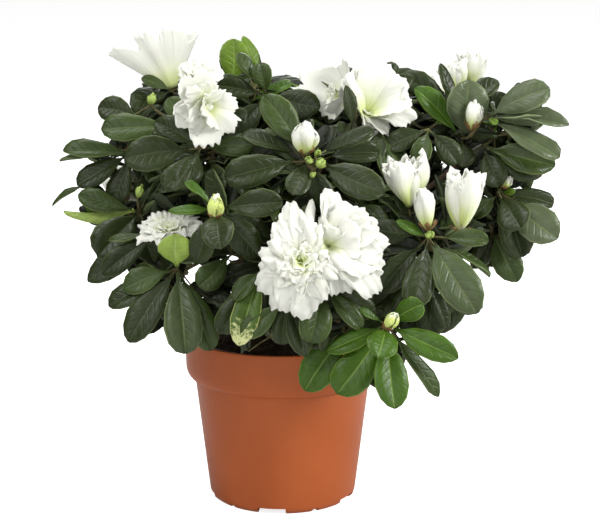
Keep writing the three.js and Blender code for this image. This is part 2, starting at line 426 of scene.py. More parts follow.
def cutterMesh():
    points, faces = [], []

    def add(newPoints, newFaces):
        start = len(points)
        points.extend(newPoints)
        faces.extend([tuple(start + i for i in face) for face in newFaces])

    step = 360 / (pot["pairs"] * 2)
    for i in range(pot["pairs"] * 2):
        wide = i % 2 == 0
        width = pot["wideNotch"] if wide else pot["narrowNotch"]
        height = pot["lift"] if wide else pot["narrowHeight"]
        turn = Matrix.Rotation(math.radians(pot["notchTurn"] + i * step), 3, "Z")
        corners = [
            turn @ Vector((x, y, z))
            for x in (pot["ringInner"] - 3 * mm, pot["wallFoot"] + 6 * mm)
            for y in (-width / 2, width / 2)
            for z in (-2 * mm, height)
        ]
        add(corners, [(0, 1, 3, 2), (4, 6, 7, 5), (0, 4, 5, 1), (2, 3, 7, 6), (0, 2, 6, 4), (1, 5, 7, 3)])
        if not wide:
            continue
        sides = pot["drainSides"]
        holePoints = []
        for z in (pot["lift"] - 2 * mm, pot["lift"] + pot["wall"] + 2 * mm):
            for k in range(sides):
                a = 2 * math.pi * k / sides
                x = pot["drainAt"] + pot["drainRadius"] * math.cos(a)
                holePoints.append(turn @ Vector((x, pot["drainRadius"] * math.sin(a), z)))
        holeFaces = gridFaces(2, sides, closed=True)
        holeFaces += [tuple(reversed(range(sides))), tuple(range(sides, 2 * sides))]
        add(holePoints, holeFaces)
    return points, faces


def frozenMesh(piece):
    # the piece as its modifiers leave it, as a plain mesh
    bpy.context.view_layer.update()
    evaluated = piece.evaluated_get(bpy.context.evaluated_depsgraph_get())
    mesh = bpy.data.meshes.new_from_object(evaluated)
    piece.modifiers.clear()
    return mesh


def potFinish():
    material, tree, shader = newFinish("terracottaPlastic", pot["colour"], 0.4, Specular_IOR_Level=0.26)
    blotch, grain = placeGroup(tree, mottle, Blotch_Scale=26, Grain_Scale=900).outputs
    colour = blendColours(tree, blotch, pot["colour"], pot["paleColour"], 0.3, 0.75)
    dress(tree, shader, colour, blotch, pot["roughness"], grain, 0.05 * mm)
    return material


def makePot():
    body = newPiece("potPlastic", *turnedSolid(potProfile(), pot["around"]))
    cutter = newPiece("potCutter", *cutterMesh())
    cut = body.modifiers.new("notches", "BOOLEAN")
    cut.operation = "DIFFERENCE"
    cut.solver = "EXACT"
    cut.object = cutter
    body.data = frozenMesh(body)
    bpy.data.objects.remove(cutter)
    body.data.set_sharp_from_angle(angle=math.radians(pot["sharp"]))
    body.data.materials.clear()
    body.data.materials.append(potFinish())
    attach(body, "root")
    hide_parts("pot")


makePot()
print("pot ready")


# compost: a lumpy filling, with crumbs and fibres strewn on it by a node tree

compost = {
    "rings": 46,
    "around": 120,
    "edge": 60.8 * mm,
    "below": 1.2 * mm,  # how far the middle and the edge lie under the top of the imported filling
    "edgeBelow": 5.6 * mm,
    "skin": 9 * mm,  # depth of the filling that is modelled below the surface
    "lump": 1.7 * mm,
    "crumbs": 2600,
    "crumbSize": (0.5 * mm, 1.7 * mm),
    "crumbShapes": ((1, 1, 0.8), (1.2, 0.8, 0.7), (0.9, 1, 1.1)),
    "fibres": 0.16,  # as a share of the crumbs
    "fibreSize": (0.6 * mm, 1.5 * mm),
    "fibreShapes": ((0.22, 2.6, 0.2), (0.5, 1.5, 0.15), (0.2, 3.4, 0.25)),
    "darkColour": (0.021, 0.013, 0.007),
    "paleColour": (0.080, 0.048, 0.026),
    "fibreColour": (0.15, 0.095, 0.055),
    "seed": 5,
}


def compostFinish(name, first, second):
    material, tree, shader = newFinish(name, first, 0.85, Specular_IOR_Level=0.25)
    blotch, grain = placeGroup(tree, mottle, Blotch_Scale=180, Grain_Scale=1500).outputs
    colour = blendColours(tree, blotch, first, second, 0.4, 0.7)
    dress(tree, shader, colour, grain, (0.7, 0.95), grain, 0.5 * mm)
    return material


def compostSurface():
    top = boxOf("compost")[1][2] - compost["below"]
    edgeTop = boxOf("compost")[1][2] - compost["edgeBelow"]
    around, rings = compost["around"], compost["rings"] + 1
    turns = [2 * math.pi * k / around for k in range(around)]
    points = [(0, 0, top)]
    for ring in range(1, compost["rings"] + 1):
        radius = compost["edge"] * ring / compost["rings"]
        for turn in turns:
            x, y = radius * math.cos(turn), radius * math.sin(turn)
            share = float(smoothStep(0.15, 1.0, radius / compost["edge"]))
            height = top + (edgeTop - top) * share
            rough = noise.fractal(Vector((x, y, 0)) * 130, 0.9, 2.1, 4)
            calm = 1 - float(smoothStep(0.97, 1.0, radius / compost["edge"]))
            points.append((x, y, height + min(rough, 0.75) * compost["lump"] * calm))
    radius = compost["edge"] - 0.8 * mm
    underneath = edgeTop - compost["skin"]
    points += [(radius * math.cos(turn), radius * math.sin(turn), underneath) for turn in turns]
    points.append((0, 0, underneath))
    faces = [tuple(reversed(face)) for face in gridFaces(rings, around, start=1, closed=True)]
    last = len(points) - 1
    for k in range(around):
        j = (k + 1) % around
        faces.append((0, 1 + k, 1 + j))
        faces.append((last, 1 + (rings - 1) * around + j, 1 + (rings - 1) * around + k))
    return points, faces


def crumbShape(name, stretch, seed):
    # an uneven lump of 20 faces
    golden = (1 + math.sqrt(5)) / 2
    corners = []
    for a in (-1, 1):
        for b in (-golden, golden):
            corners += [(0, a, b), (a, b, 0), (b, 0, a)]
    draw = np.random.default_rng(seed)
    points = [unit(corner) * draw.uniform(0.7, 1.15) * np.array(stretch) for corner in corners]
    hull = newPiece(name, points, [])
    work = bpy.data.meshes.new(name)
    lump = bmesh.new()
    lump.from_mesh(hull.data)
    bmesh.ops.convex_hull(lump, input=lump.verts)
    bmesh.ops.recalc_face_normals(lump, faces=lump.faces)
    lump.to_mesh(work)
    lump.free()
    hull.data = work
    return hull


# node trees for what repeats

def geometryTree(name, inputs):
    tree = bpy.data.node_groups.new(name, "GeometryNodeTree")
    tree.interface.new_socket("Geometry", in_out="OUTPUT", socket_type="NodeSocketGeometry")
    tree.interface.new_socket("Geometry", in_out="INPUT", socket_type="NodeSocketGeometry")
    for label, (kind, value) in inputs.items():
        socket = tree.interface.new_socket(label, in_out="INPUT", socket_type="NodeSocket" + kind)
        if value is not None:
            socket.default_value = value
    given = tree.nodes.new("NodeGroupInput")
    return tree, {socket.name: socket for socket in given.outputs if socket.name}


def endTree(tree, geometry, finishes):
    # realized, then one Set Material for each finish, the later ones on a part of the faces
    made = addNode(tree, "GeometryNodeRealizeInstances", {"Geometry": geometry}).outputs[0]
    for finish, selection in finishes:
        values = {"Geometry": made, "Material": finish}
        if selection is not None:
            values["Selection"] = selection
        made = addNode(tree, "GeometryNodeSetMaterial", values).outputs[0]
    addNode(tree, "NodeGroupOutput", {0: made})


def runTree(piece, tree, **values):
    modifier = piece.modifiers.new(tree.name, "NODES")
    modifier.node_group = tree
    sockets = {item.name: item.identifier for item in tree.interface.items_tree if item.in_out == "INPUT"}
    for label, value in values.items():
        modifier[sockets[label.replace("_", " ")]] = value
    piece.data = frozenMesh(piece)
    return piece


def shapeCollection(name, pieces):
    shapes = bpy.data.collections.new(name)
    for piece in pieces:
        bpy.context.scene.collection.objects.unlink(piece)
        shapes.objects.link(piece)
    return shapes


def dropCollection(shapes):
    for piece in list(shapes.objects):
        bpy.data.objects.remove(piece)
    bpy.data.collections.remove(shapes)


def crumbTree():
    tree, given = geometryTree("strewnCrumbs", {
        "Density": ("Float", 1000.0),
        "Smallest": ("Float", 0.001),
        "Largest": ("Float", 0.002),
        "Seed": ("Int", 0),
        "Shapes": ("Collection", None),
        "Finish": ("Material", None),
    })
    normal = addNode(tree, "GeometryNodeInputNormal").outputs[0]
    rise = addNode(tree, "ShaderNodeSeparateXYZ", {0: normal}).outputs[2]
    upward = addNode(tree, "FunctionNodeCompare", {0: rise, 1: 0.3}, operation="GREATER_THAN").outputs[0]
    strewn = addNode(tree, "GeometryNodeDistributePointsOnFaces", {
        "Mesh": given["Geometry"], "Selection": upward, "Density": given["Density"], "Seed": given["Seed"]})
    shapes = addNode(tree, "GeometryNodeCollectionInfo", {
        "Collection": given["Shapes"], "Separate Children": True, "Reset Children": True})
    turn = addNode(tree, "FunctionNodeRandomValue", {
        0: (0, 0, 0), 1: (6.28, 6.28, 6.28), "Seed": 3}, data_type="FLOAT_VECTOR")
    size = addNode(tree, "FunctionNodeRandomValue", {
        2: given["Smallest"], 3: given["Largest"], "Seed": 4}, data_type="FLOAT")
    placed = addNode(tree, "GeometryNodeInstanceOnPoints", {
        "Points": strewn.outputs[0], "Instance": shapes.outputs[0], "Pick Instance": True,
        "Rotation": turn.outputs[0], "Scale": size.outputs[1]})
    endTree(tree, placed.outputs[0], [(given["Finish"], None)])
    return tree


def makeCompost():
    ground = newPiece("compostTop", *compostSurface())
    peat = compostFinish("dampPeat", compost["darkColour"], compost["paleColour"])
    straw = compostFinish("paleFibre", compost["fibreColour"], tinted(compost["fibreColour"], 0.5))
    ground.data.materials.append(peat)

    area = math.pi * compost["edge"] ** 2
    tree = crumbTree()
    strewn = []
    crumbs, fibres = compost["crumbs"], compost["crumbs"] * compost["fibres"]
    kinds = (
        ("compostCrumbs", peat, crumbs, compost["crumbSize"], compost["crumbShapes"]),
        ("compostFibres", straw, fibres, compost["fibreSize"], compost["fibreShapes"]),
    )
    for name, finish, count, sizes, stretches in kinds:
        shapes = shapeCollection(name + "Shapes", [
            crumbShape(f"{name}{i}", stretch, compost["seed"] + i) for i, stretch in enumerate(stretches)])
        piece = bpy.data.objects.new(name, ground.data.copy())
        bpy.context.scene.collection.objects.link(piece)
        runTree(piece, tree, Density=count / area, Smallest=sizes[0] / 2, Largest=sizes[1] / 2,
                Seed=compost["seed"], Shapes=shapes, Finish=finish)
        dropCollection(shapes)
        strewn.append(piece)
    for piece in [ground] + strewn:
        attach(piece, "root")
        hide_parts("compost")


makeCompost()
print("compost ready")


# stem and boughs: bark with lengthwise relief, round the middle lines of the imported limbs

limbs = {
    "stemAround": 56,
    "stemRows": 60,
    "boughAround": 18,
    "boughRows": 40,
    "cuts": 7,  # slices of a packed limb that its middle line is taken from
    "end": 2.5 * mm,  # length at its ends that counts as an end
    "radius": (2.5, 0.95),  # mm, of a bough at its foot, and how much it loses to its tip
    "stemRelief": 0.55 * mm,
    "boughRelief": 0.22 * mm,
    "darkColour": (0.050, 0.031, 0.018),
    "paleColour": (0.155, 0.112, 0.072),
}


def nodePoints(node):
    mesh = frame["nodes"][node].data
    points = np.empty(len(mesh.vertices) * 3)
    mesh.vertices.foreach_get("co", points)
    return points.reshape(-1, 3)


def limbLine(node, start):
    # middle line of a packed limb, from slices across it, beginning at the end nearest to start
    points = nodePoints(node)
    distance = np.linalg.norm(points - start, axis=1)
    edges = np.linspace(distance.min(), distance.max() + 1e-6, limbs["cuts"] + 1)
    line = []
    for low, high in zip(edges[:-1], edges[1:]):
        inside = points[(distance >= low) & (distance < high)]
        if len(inside) > 2:
            line.append((inside.min(axis=0) + inside.max(axis=0)) / 2)
    first = points[distance <= distance.min() + limbs["end"]].mean(axis=0)
    last = points[distance >= distance.max() - limbs["end"]].mean(axis=0)
    return np.array([first] + line[1:-1] + [last])


# a smooth run of points through the given ones
def smoothLine(points, count):
    points = np.asarray(points, float)
    steps = np.r_[0, np.cumsum(np.linalg.norm(np.diff(points, axis=0), axis=1))]
    degree = min(3, len(points) - 1)
    at = np.linspace(0, steps[-1], count)
    fitted = np.c_[[np.polyval(np.polyfit(steps, points[:, k], degree), at) for k in range(3)]].T
    return fitted + (points[0] - fitted[0]) * (1 - at / steps[-1])[:, None]


def tubePoints(line, radiusAt, around, relief):
    # rings of points round a line; relief(along, turn) moves a point out or in
    tangents = np.gradient(line, axis=0)
    side = unit(np.cross(tangents[0], (0.31, 0.17, 0.93)))
    points = []
    for row, (middle, tangent) in enumerate(zip(line, tangents)):
        tangent = unit(tangent)
        side = unit(side - tangent * side.dot(tangent))
        across = np.cross(tangent, side)
        along = row / (len(line) - 1)
        for k in range(around):
            turn = 2 * math.pi * k / around
            radius = radiusAt(along, turn) + relief(along, turn)
            points.append(middle + (side * math.cos(turn) + across * math.sin(turn)) * radius)
    return points


def closedTube(rows, around, start):
    faces = gridFaces(rows, around, start=start, closed=True)
    faces.append(tuple(start + k for k in reversed(range(around))))
    faces.append(tuple(start + (rows - 1) * around + k for k in range(around)))
    return faces


def barkFinish():
    material, tree, shader = newFinish("grooveBark", limbs["darkColour"], 0.85, Specular_IOR_Level=0.3)
    blotch, grain = placeGroup(tree, mottle, Blotch_Scale=220, Grain_Scale=1400).outputs
    streaks = placeGroup(tree, lengthwise, Streaks=26, Stretch=5).outputs[0]
    mask = calc(tree, "MULTIPLY_ADD", streaks, 0.65, calc(tree, "MULTIPLY", blotch, 0.35))
    colour = blendColours(tree, mask, limbs["darkColour"], limbs["paleColour"], 0.38, 0.62)
    dress(tree, shader, colour, grain, (0.75, 0.95), mask, 0.6 * mm)
    return material


def barkRelief(depth, seed):
    def relief(along, turn):
        place = Vector((math.cos(turn) * 2.2, math.sin(turn) * 2.2, along * 2.4 + seed * 7.3))
        ridge = noise.fractal(place * 2.1, 0.8, 2.2, 4)
        crack = noise.noise(Vector((math.cos(turn) * 6, math.sin(turn) * 6, along * 5 + seed)))
        return depth * (0.75 * ridge + 0.5 * crack)
    return relief


def makeLimbs():
    points, faces, places = [], [], []
    stemLow, stemHigh = boxOf("stem")
    stemPoints = nodePoints("stem")
    top = stemPoints[stemPoints[:, 2] > stemHigh[2] - 1 * mm]
    topMiddle = top.mean(axis=0)
    topRadius = (top.max(axis=0) - top.min(axis=0))[:2].mean() / 2
    footRadius = (stemHigh[0] - stemLow[0]) / 2
    foot = np.array((0, 0, stemLow[2] - 1.5 * mm))
    head = topMiddle + unit(topMiddle - foot) * 1.5 * mm

    def stemRadius(share, turn):
        flare = max(0.0, 1 - share * 3.6) ** 2
        lobes = 1 + 0.12 * flare * math.cos(3 * turn + 0.6) + 0.05 * math.cos(2 * turn)
        close = 1 - float(smoothStep(0.93, 1.0, share)) * 0.35
        return (topRadius * 1.04 + (footRadius - topRadius) * flare) * lobes * close

    def boughRadius(share, turn):
        return (limbs["radius"][0] - limbs["radius"][1] * share) * mm

    stem = smoothLine([foot, (foot + head) / 2, head], limbs["stemRows"])
    tubes = [(stem, stemRadius, limbs["stemAround"], limbs["stemRelief"], 1)]
    lines = {}
    for number, node in enumerate(boughNodes):
        line = limbLine(node, topMiddle * (1, 1, 0) + (0, 0, middleOf(node)[2] * 0.5))
        if np.linalg.norm(line[0][:2]) > np.linalg.norm(line[-1][:2]):
            line = line[::-1]
        inner = np.array((topMiddle[0] * 0.6, 0, line[0][2] - 1 * mm))
        smooth = smoothLine(line, limbs["boughRows"] - 4)
        smooth = np.vstack([inner + (smooth[0] - inner) * share for share in (0.25, 0.5, 0.75)] + [smooth])
        lines[node] = smooth
        tubes.append((smooth, boughRadius, limbs["boughAround"], limbs["boughRelief"], 5 + number))
    for line, radiusAt, around, relief, seed in tubes:
        start = len(points)
        points += tubePoints(line, radiusAt, around, barkRelief(relief, seed))
        faces += closedTube(len(line), around, start)
        index = np.arange(len(line) * around)  # across there and back round the limb, along twice its length
        across = np.abs((index % around) / around * 2 - 1)
        places.append(np.c_[across, (index // around) / len(line) * 2 + seed])
    bark = newPiece("barkLimbs", points, faces)
    givePointUV(bark.data, np.vstack(places))
    bark.data.materials.append(barkFinish())
    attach(bark, "root")
    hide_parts("stem", *boughNodes)
    return lines


boughLines = makeLimbs()
print("stem and boughs ready")


# leaf blade: one closed thin blade in several shapes, unit long and unit wide, strewn by a node tree

blade = {
    "most": 700,  # leaves in one piece
    "rows": (0, 0.12, 0.28, 0.48, 0.68, 0.85, 0.955, 1.0),  # shares of the length
    "columns": (-1, -0.92, -0.46, -0.055, 0.055, 0.46, 0.92, 1),  # shares of the half width
    "stalk": 0.09,
    "stalkHalf": 0.045,
    "tipHalf": 0.04,
    "thickness": 0.016,
    "groove": 0.012,
    "roll": 0.10,  # how far the margin turns down
    "shapes": 14,
    "seed": 8,
}
partTop, partUnder, partRib, partRim = range(4)


def bladeShape(number):
    # the flat kinds come first, the folded and curled ones last
    draw = np.random.default_rng(blade["seed"] + number)
    share = number / (blade["shapes"] - 1)
    return {
        "base": draw.uniform(0.70, 0.96),
        "tip": draw.uniform(0.46, 0.66),
        "fold": 0.08 + 0.42 * share + draw.uniform(-0.05, 0.05),
        "bulge": draw.uniform(0.10, 0.24),
        "droop": math.radians(6 + 44 * share + draw.uniform(-6, 8)),
        "twist": math.radians(draw.uniform(-14, 14)),
        "wave": draw.uniform(0.02, 0.13),
        "phase": draw.uniform(0, 1),
        "bend": draw.uniform(-0.05, 0.05),  # sideways sweep
    }


def bladeHalfWidth(form, along):
    if along <= blade["stalk"]:
        return blade["stalkHalf"]
    share = (along - blade["stalk"]) / (1 - blade["stalk"])
    peak = form["base"] / (form["base"] + form["tip"])
    most = peak ** form["base"] * (1 - peak) ** form["tip"]
    width = 0.5 * share ** form["base"] * (1 - share) ** form["tip"] / most
    floor = blade["stalkHalf"] + (blade["tipHalf"] - blade["stalkHalf"]) * share
    return max(width, floor)


def bladeLine(form):
    # the curved middle line, turned and scaled so that it runs from 0 to 1 along Y
    rows = np.array(blade["rows"])
    fine = np.linspace(0, 1, 65)
    pitch = form["droop"] * (0.5 - fine)
    step = fine[1] - fine[0]
    y = np.r_[0, np.cumsum(np.cos(pitch[:-1]) * step)]
    z = np.r_[0, np.cumsum(np.sin(pitch[:-1]) * step)]
    level = math.atan2(z[-1], y[-1])
    size = math.hypot(z[-1], y[-1])
    turnedY = (y * math.cos(level) + z * math.sin(level)) / size
    turnedZ = (z * math.cos(level) - y * math.sin(level)) / size
    return [np.interp(rows, fine, values) for values in (turnedY, turnedZ, pitch - level)]


def makeBlade(number):
    form = bladeShape(number)
    lineY, lineZ, pitches = bladeLine(form)
    rows, columns = blade["rows"], blade["columns"]
    points, lower = [], []

    def placed(row, x, lift):
        sideways = form["bend"] * math.sin(math.pi * rows[row])
        twist = form["twist"] * (rows[row] - 0.35)
        x, lift = x * math.cos(twist) - lift * math.sin(twist), x * math.sin(twist) + lift * math.cos(twist)
        pitch = pitches[row]
        return (x + sideways, lineY[row] - lift * math.sin(pitch), lineZ[row] + lift * math.cos(pitch))

    for row, along in enumerate(rows):
        half = bladeHalfWidth(form, along)
        for column in columns:
            side = abs(column)
            lift = form["fold"] * side * half + form["bulge"] * half * 4 * side * (1 - side)
            lift -= blade["roll"] * half * float(smoothStep(0.8, 1.0, side))
            wavePhase = 2 * math.pi * (1.4 * along + form["phase"] + (0.3 if column > 0 else 0))
            lift += form["wave"] * half * side ** 2 * math.sin(wavePhase)
            if side < 0.1:
                lift -= blade["groove"]
            points.append(placed(row, column * half, lift))
        thick = blade["thickness"] + 0.07 * (1 - float(smoothStep(0.02, 0.2, along)))
        lower.append(placed(row, 0, -thick - blade["groove"]))
    count, wide = len(rows), len(columns)
    under = len(points)
    points += lower

    faces = gridFaces(count, wide)
    kinds = {0: partRim, (wide - 2) // 2: partRib, wide - 2: partRim}
    parts = [kinds.get(i % (wide - 1), partTop) for i in range(len(faces))]
    for row in range(count - 1):
        left, last = row * wide, row * wide + wide - 1
        faces.append((left, left + wide, under + row + 1, under + row))
        faces.append((under + row, under + row + 1, last + wide, last))
        parts += [partUnder, partUnder]
    faces.append([0, under] + list(range(wide - 1, 0, -1)))
    tip = (count - 1) * wide
    faces.append([under + count - 1, tip] + list(range(tip + 1, tip + wide)))
    parts += [partRib, partRim]

    piece = newPiece(f"blade{number:02d}", points, faces)
    addAttribute(piece.data, "part", "INT", "FACE", "value", np.array(parts, np.int32))
    across = np.r_[np.tile((np.array(columns) + 1) / 2, count), np.full(count, 0.5)]
    givePointUV(piece.data, np.c_[across, np.r_[np.repeat(rows, wide), rows]])
    return piece


def sprayTree():
    tree, given = geometryTree("leafSprays", {
        "Size": ("Float", 1.0),
        "Blades": ("Collection", None),
        "Top": ("Material", None),
        "Under": ("Material", None),
        "Rib": ("Material", None),
        "Rim": ("Material", None),
    })

    def named(label, kind):
        node = addNode(tree, "GeometryNodeInputNamedAttribute", {"Name": label}, data_type=kind)
        return node.outputs[0]

    blades = addNode(tree, "GeometryNodeCollectionInfo", {
        "Collection": given["Blades"], "Separate Children": True, "Reset Children": True})
    turn = addNode(tree, "FunctionNodeEulerToRotation", {0: named("turn", "FLOAT_VECTOR")})
    size = addNode(tree, "ShaderNodeVectorMath", {
        0: named("size", "FLOAT_VECTOR"), "Scale": given["Size"]}, operation="SCALE")
    placed = addNode(tree, "GeometryNodeInstanceOnPoints", {
        "Points": given["Geometry"], "Instance": blades.outputs[0], "Pick Instance": True,
        "Instance Index": named("shape", "INT"), "Rotation": turn.outputs[0], "Scale": size.outputs[0]})
    finishes = [(given["Top"], None)]
    for label, number in (("Under", partUnder), ("Rib", partRib), ("Rim", partRim)):
        chosen = addNode(tree, "FunctionNodeCompare", {
            2: named("part", "INT"), 3: number}, data_type="INT", operation="EQUAL")
        finishes.append((given[label], chosen.outputs[0]))
    endTree(tree, placed.outputs[0], finishes)
    return tree


tints = {  # plain colours of a blade: upper face, underside, midrib, margin, and how glossy it is
    # painted shade: the darkest tint is a darker copy of the dark one, for leaves deep in the crown where
    # shade falls
    "deep": dict(top=(0.008, 0.011, 0.004), under=(0.030, 0.041, 0.017), rib=(0.014, 0.020, 0.006),
                 rim=(0.024, 0.034, 0.011), gloss=(0.45, 0.6)),
    "dark": dict(top=(0.018, 0.027, 0.006), under=(0.075, 0.100, 0.040), rib=(0.034, 0.048, 0.014),
                 rim=(0.066, 0.090, 0.030), gloss=(0.30, 0.46)),
    "mid": dict(top=(0.031, 0.051, 0.010), under=(0.095, 0.130, 0.050), rib=(0.065, 0.095, 0.026),
                rim=(0.105, 0.140, 0.045), gloss=(0.30, 0.46)),
    # painted sheen, fainter: a paler grey-green for leaves with a soft shine
    "grey": dict(top=(0.046, 0.065, 0.024), under=(0.110, 0.140, 0.065), rib=(0.085, 0.118, 0.042),
                 rim=(0.130, 0.165, 0.070), gloss=(0.30, 0.44)),
    # painted sheen: a paler, greyer copy of the leaf colour for leaves that catch the light and shine
    "silver": dict(top=(0.066, 0.086, 0.040), under=(0.120, 0.150, 0.075), rib=(0.100, 0.135, 0.055),
                   rim=(0.150, 0.185, 0.090), gloss=(0.30, 0.44)),
    "fresh": dict(top=(0.036, 0.082, 0.004), under=(0.105, 0.175, 0.036), rib=(0.102, 0.170, 0.024),
                  rim=(0.102, 0.174, 0.024), gloss=(0.32, 0.48)),
    "bright": dict(top=(0.090, 0.154, 0.011), under=(0.150, 0.240, 0.040), rib=(0.155, 0.240, 0.042),
                   rim=(0.155, 0.240, 0.042), gloss=(0.36, 0.5)),
    "young": dict(top=(0.212, 0.300, 0.052), under=(0.255, 0.345, 0.080), rib=(0.290, 0.385, 0.105),
                  rim=(0.290, 0.385, 0.100), gloss=(0.42, 0.55)),
    "marked": dict(top=(0.050, 0.090, 0.012), under=(0.120, 0.190, 0.045), rib=(0.130, 0.200, 0.035),
                   rim=(0.330, 0.370, 0.120), gloss=(0.35, 0.5)),
}
scorch = {"colour": (0.52, 0.54, 0.25), "from": 1.07}  # the pale, dried end of the marked leaves


def bladeFinishes(tint, look):
    made = {}
    for part in ("top", "under", "rib", "rim"):
        colour = look[part]
        name = f"{tint}Leaf{part.capitalize()}"
        material, tree, shader = newFinish(name, colour, 0.4, Specular_IOR_Level=0.26)
        blotch, grain = placeGroup(tree, mottle, Blotch_Scale=120, Grain_Scale=420).outputs
        mask, height = blotch, grain
        if part in ("top", "under"):
            veins = placeGroup(tree, leafVeins, Pairs=7.5, Slant=1.6).outputs["Line"]
            mask = calc(tree, "MULTIPLY_ADD", veins, 0.05, blotch)
            height = calc(tree, "MULTIPLY_ADD", veins, -0.28 if part == "top" else 0.5, blotch)
        shade = blendColours(tree, mask, colour, tinted(colour, 1.35 if part == "top" else 1.2), 0.4, 0.8)
        if tint == "marked":
            place = addNode(tree, "ShaderNodeUVMap").outputs[0]
            along = addNode(tree, "ShaderNodeSeparateXYZ", {0: place}).outputs[1]
            dried = calc(tree, "MULTIPLY_ADD", grain, 0.9, calc(tree, "SUBTRACT", along, scorch["from"]))
            dried = addNode(tree, "ShaderNodeMapRange", {0: dried, 1: 0.1, 2: 0.3}).outputs[0]
            shade = addNode(tree, "ShaderNodeMix", {
                "Factor": dried, 6: shade, 7: (*scorch["colour"], 1)}, data_type="RGBA").outputs[2]
        roughness = look["gloss"] if part in ("top", "rib") else (0.5, 0.65)
        dress(tree, shader, shade, grain, roughness, height, 0.55 * mm)
        made[part.capitalize()] = material
    return made


leafRows = {tint: [] for tint in tints}  # base, way, face, length, width, shape of each leaf


def addLeaf(tint, base, way, face, length, width, shape):
    way = unit(way)
    face = unit(face - way * np.dot(face, way))
    leafRows[tint].append((np.asarray(base, float), way, face, length, width, int(shape)))
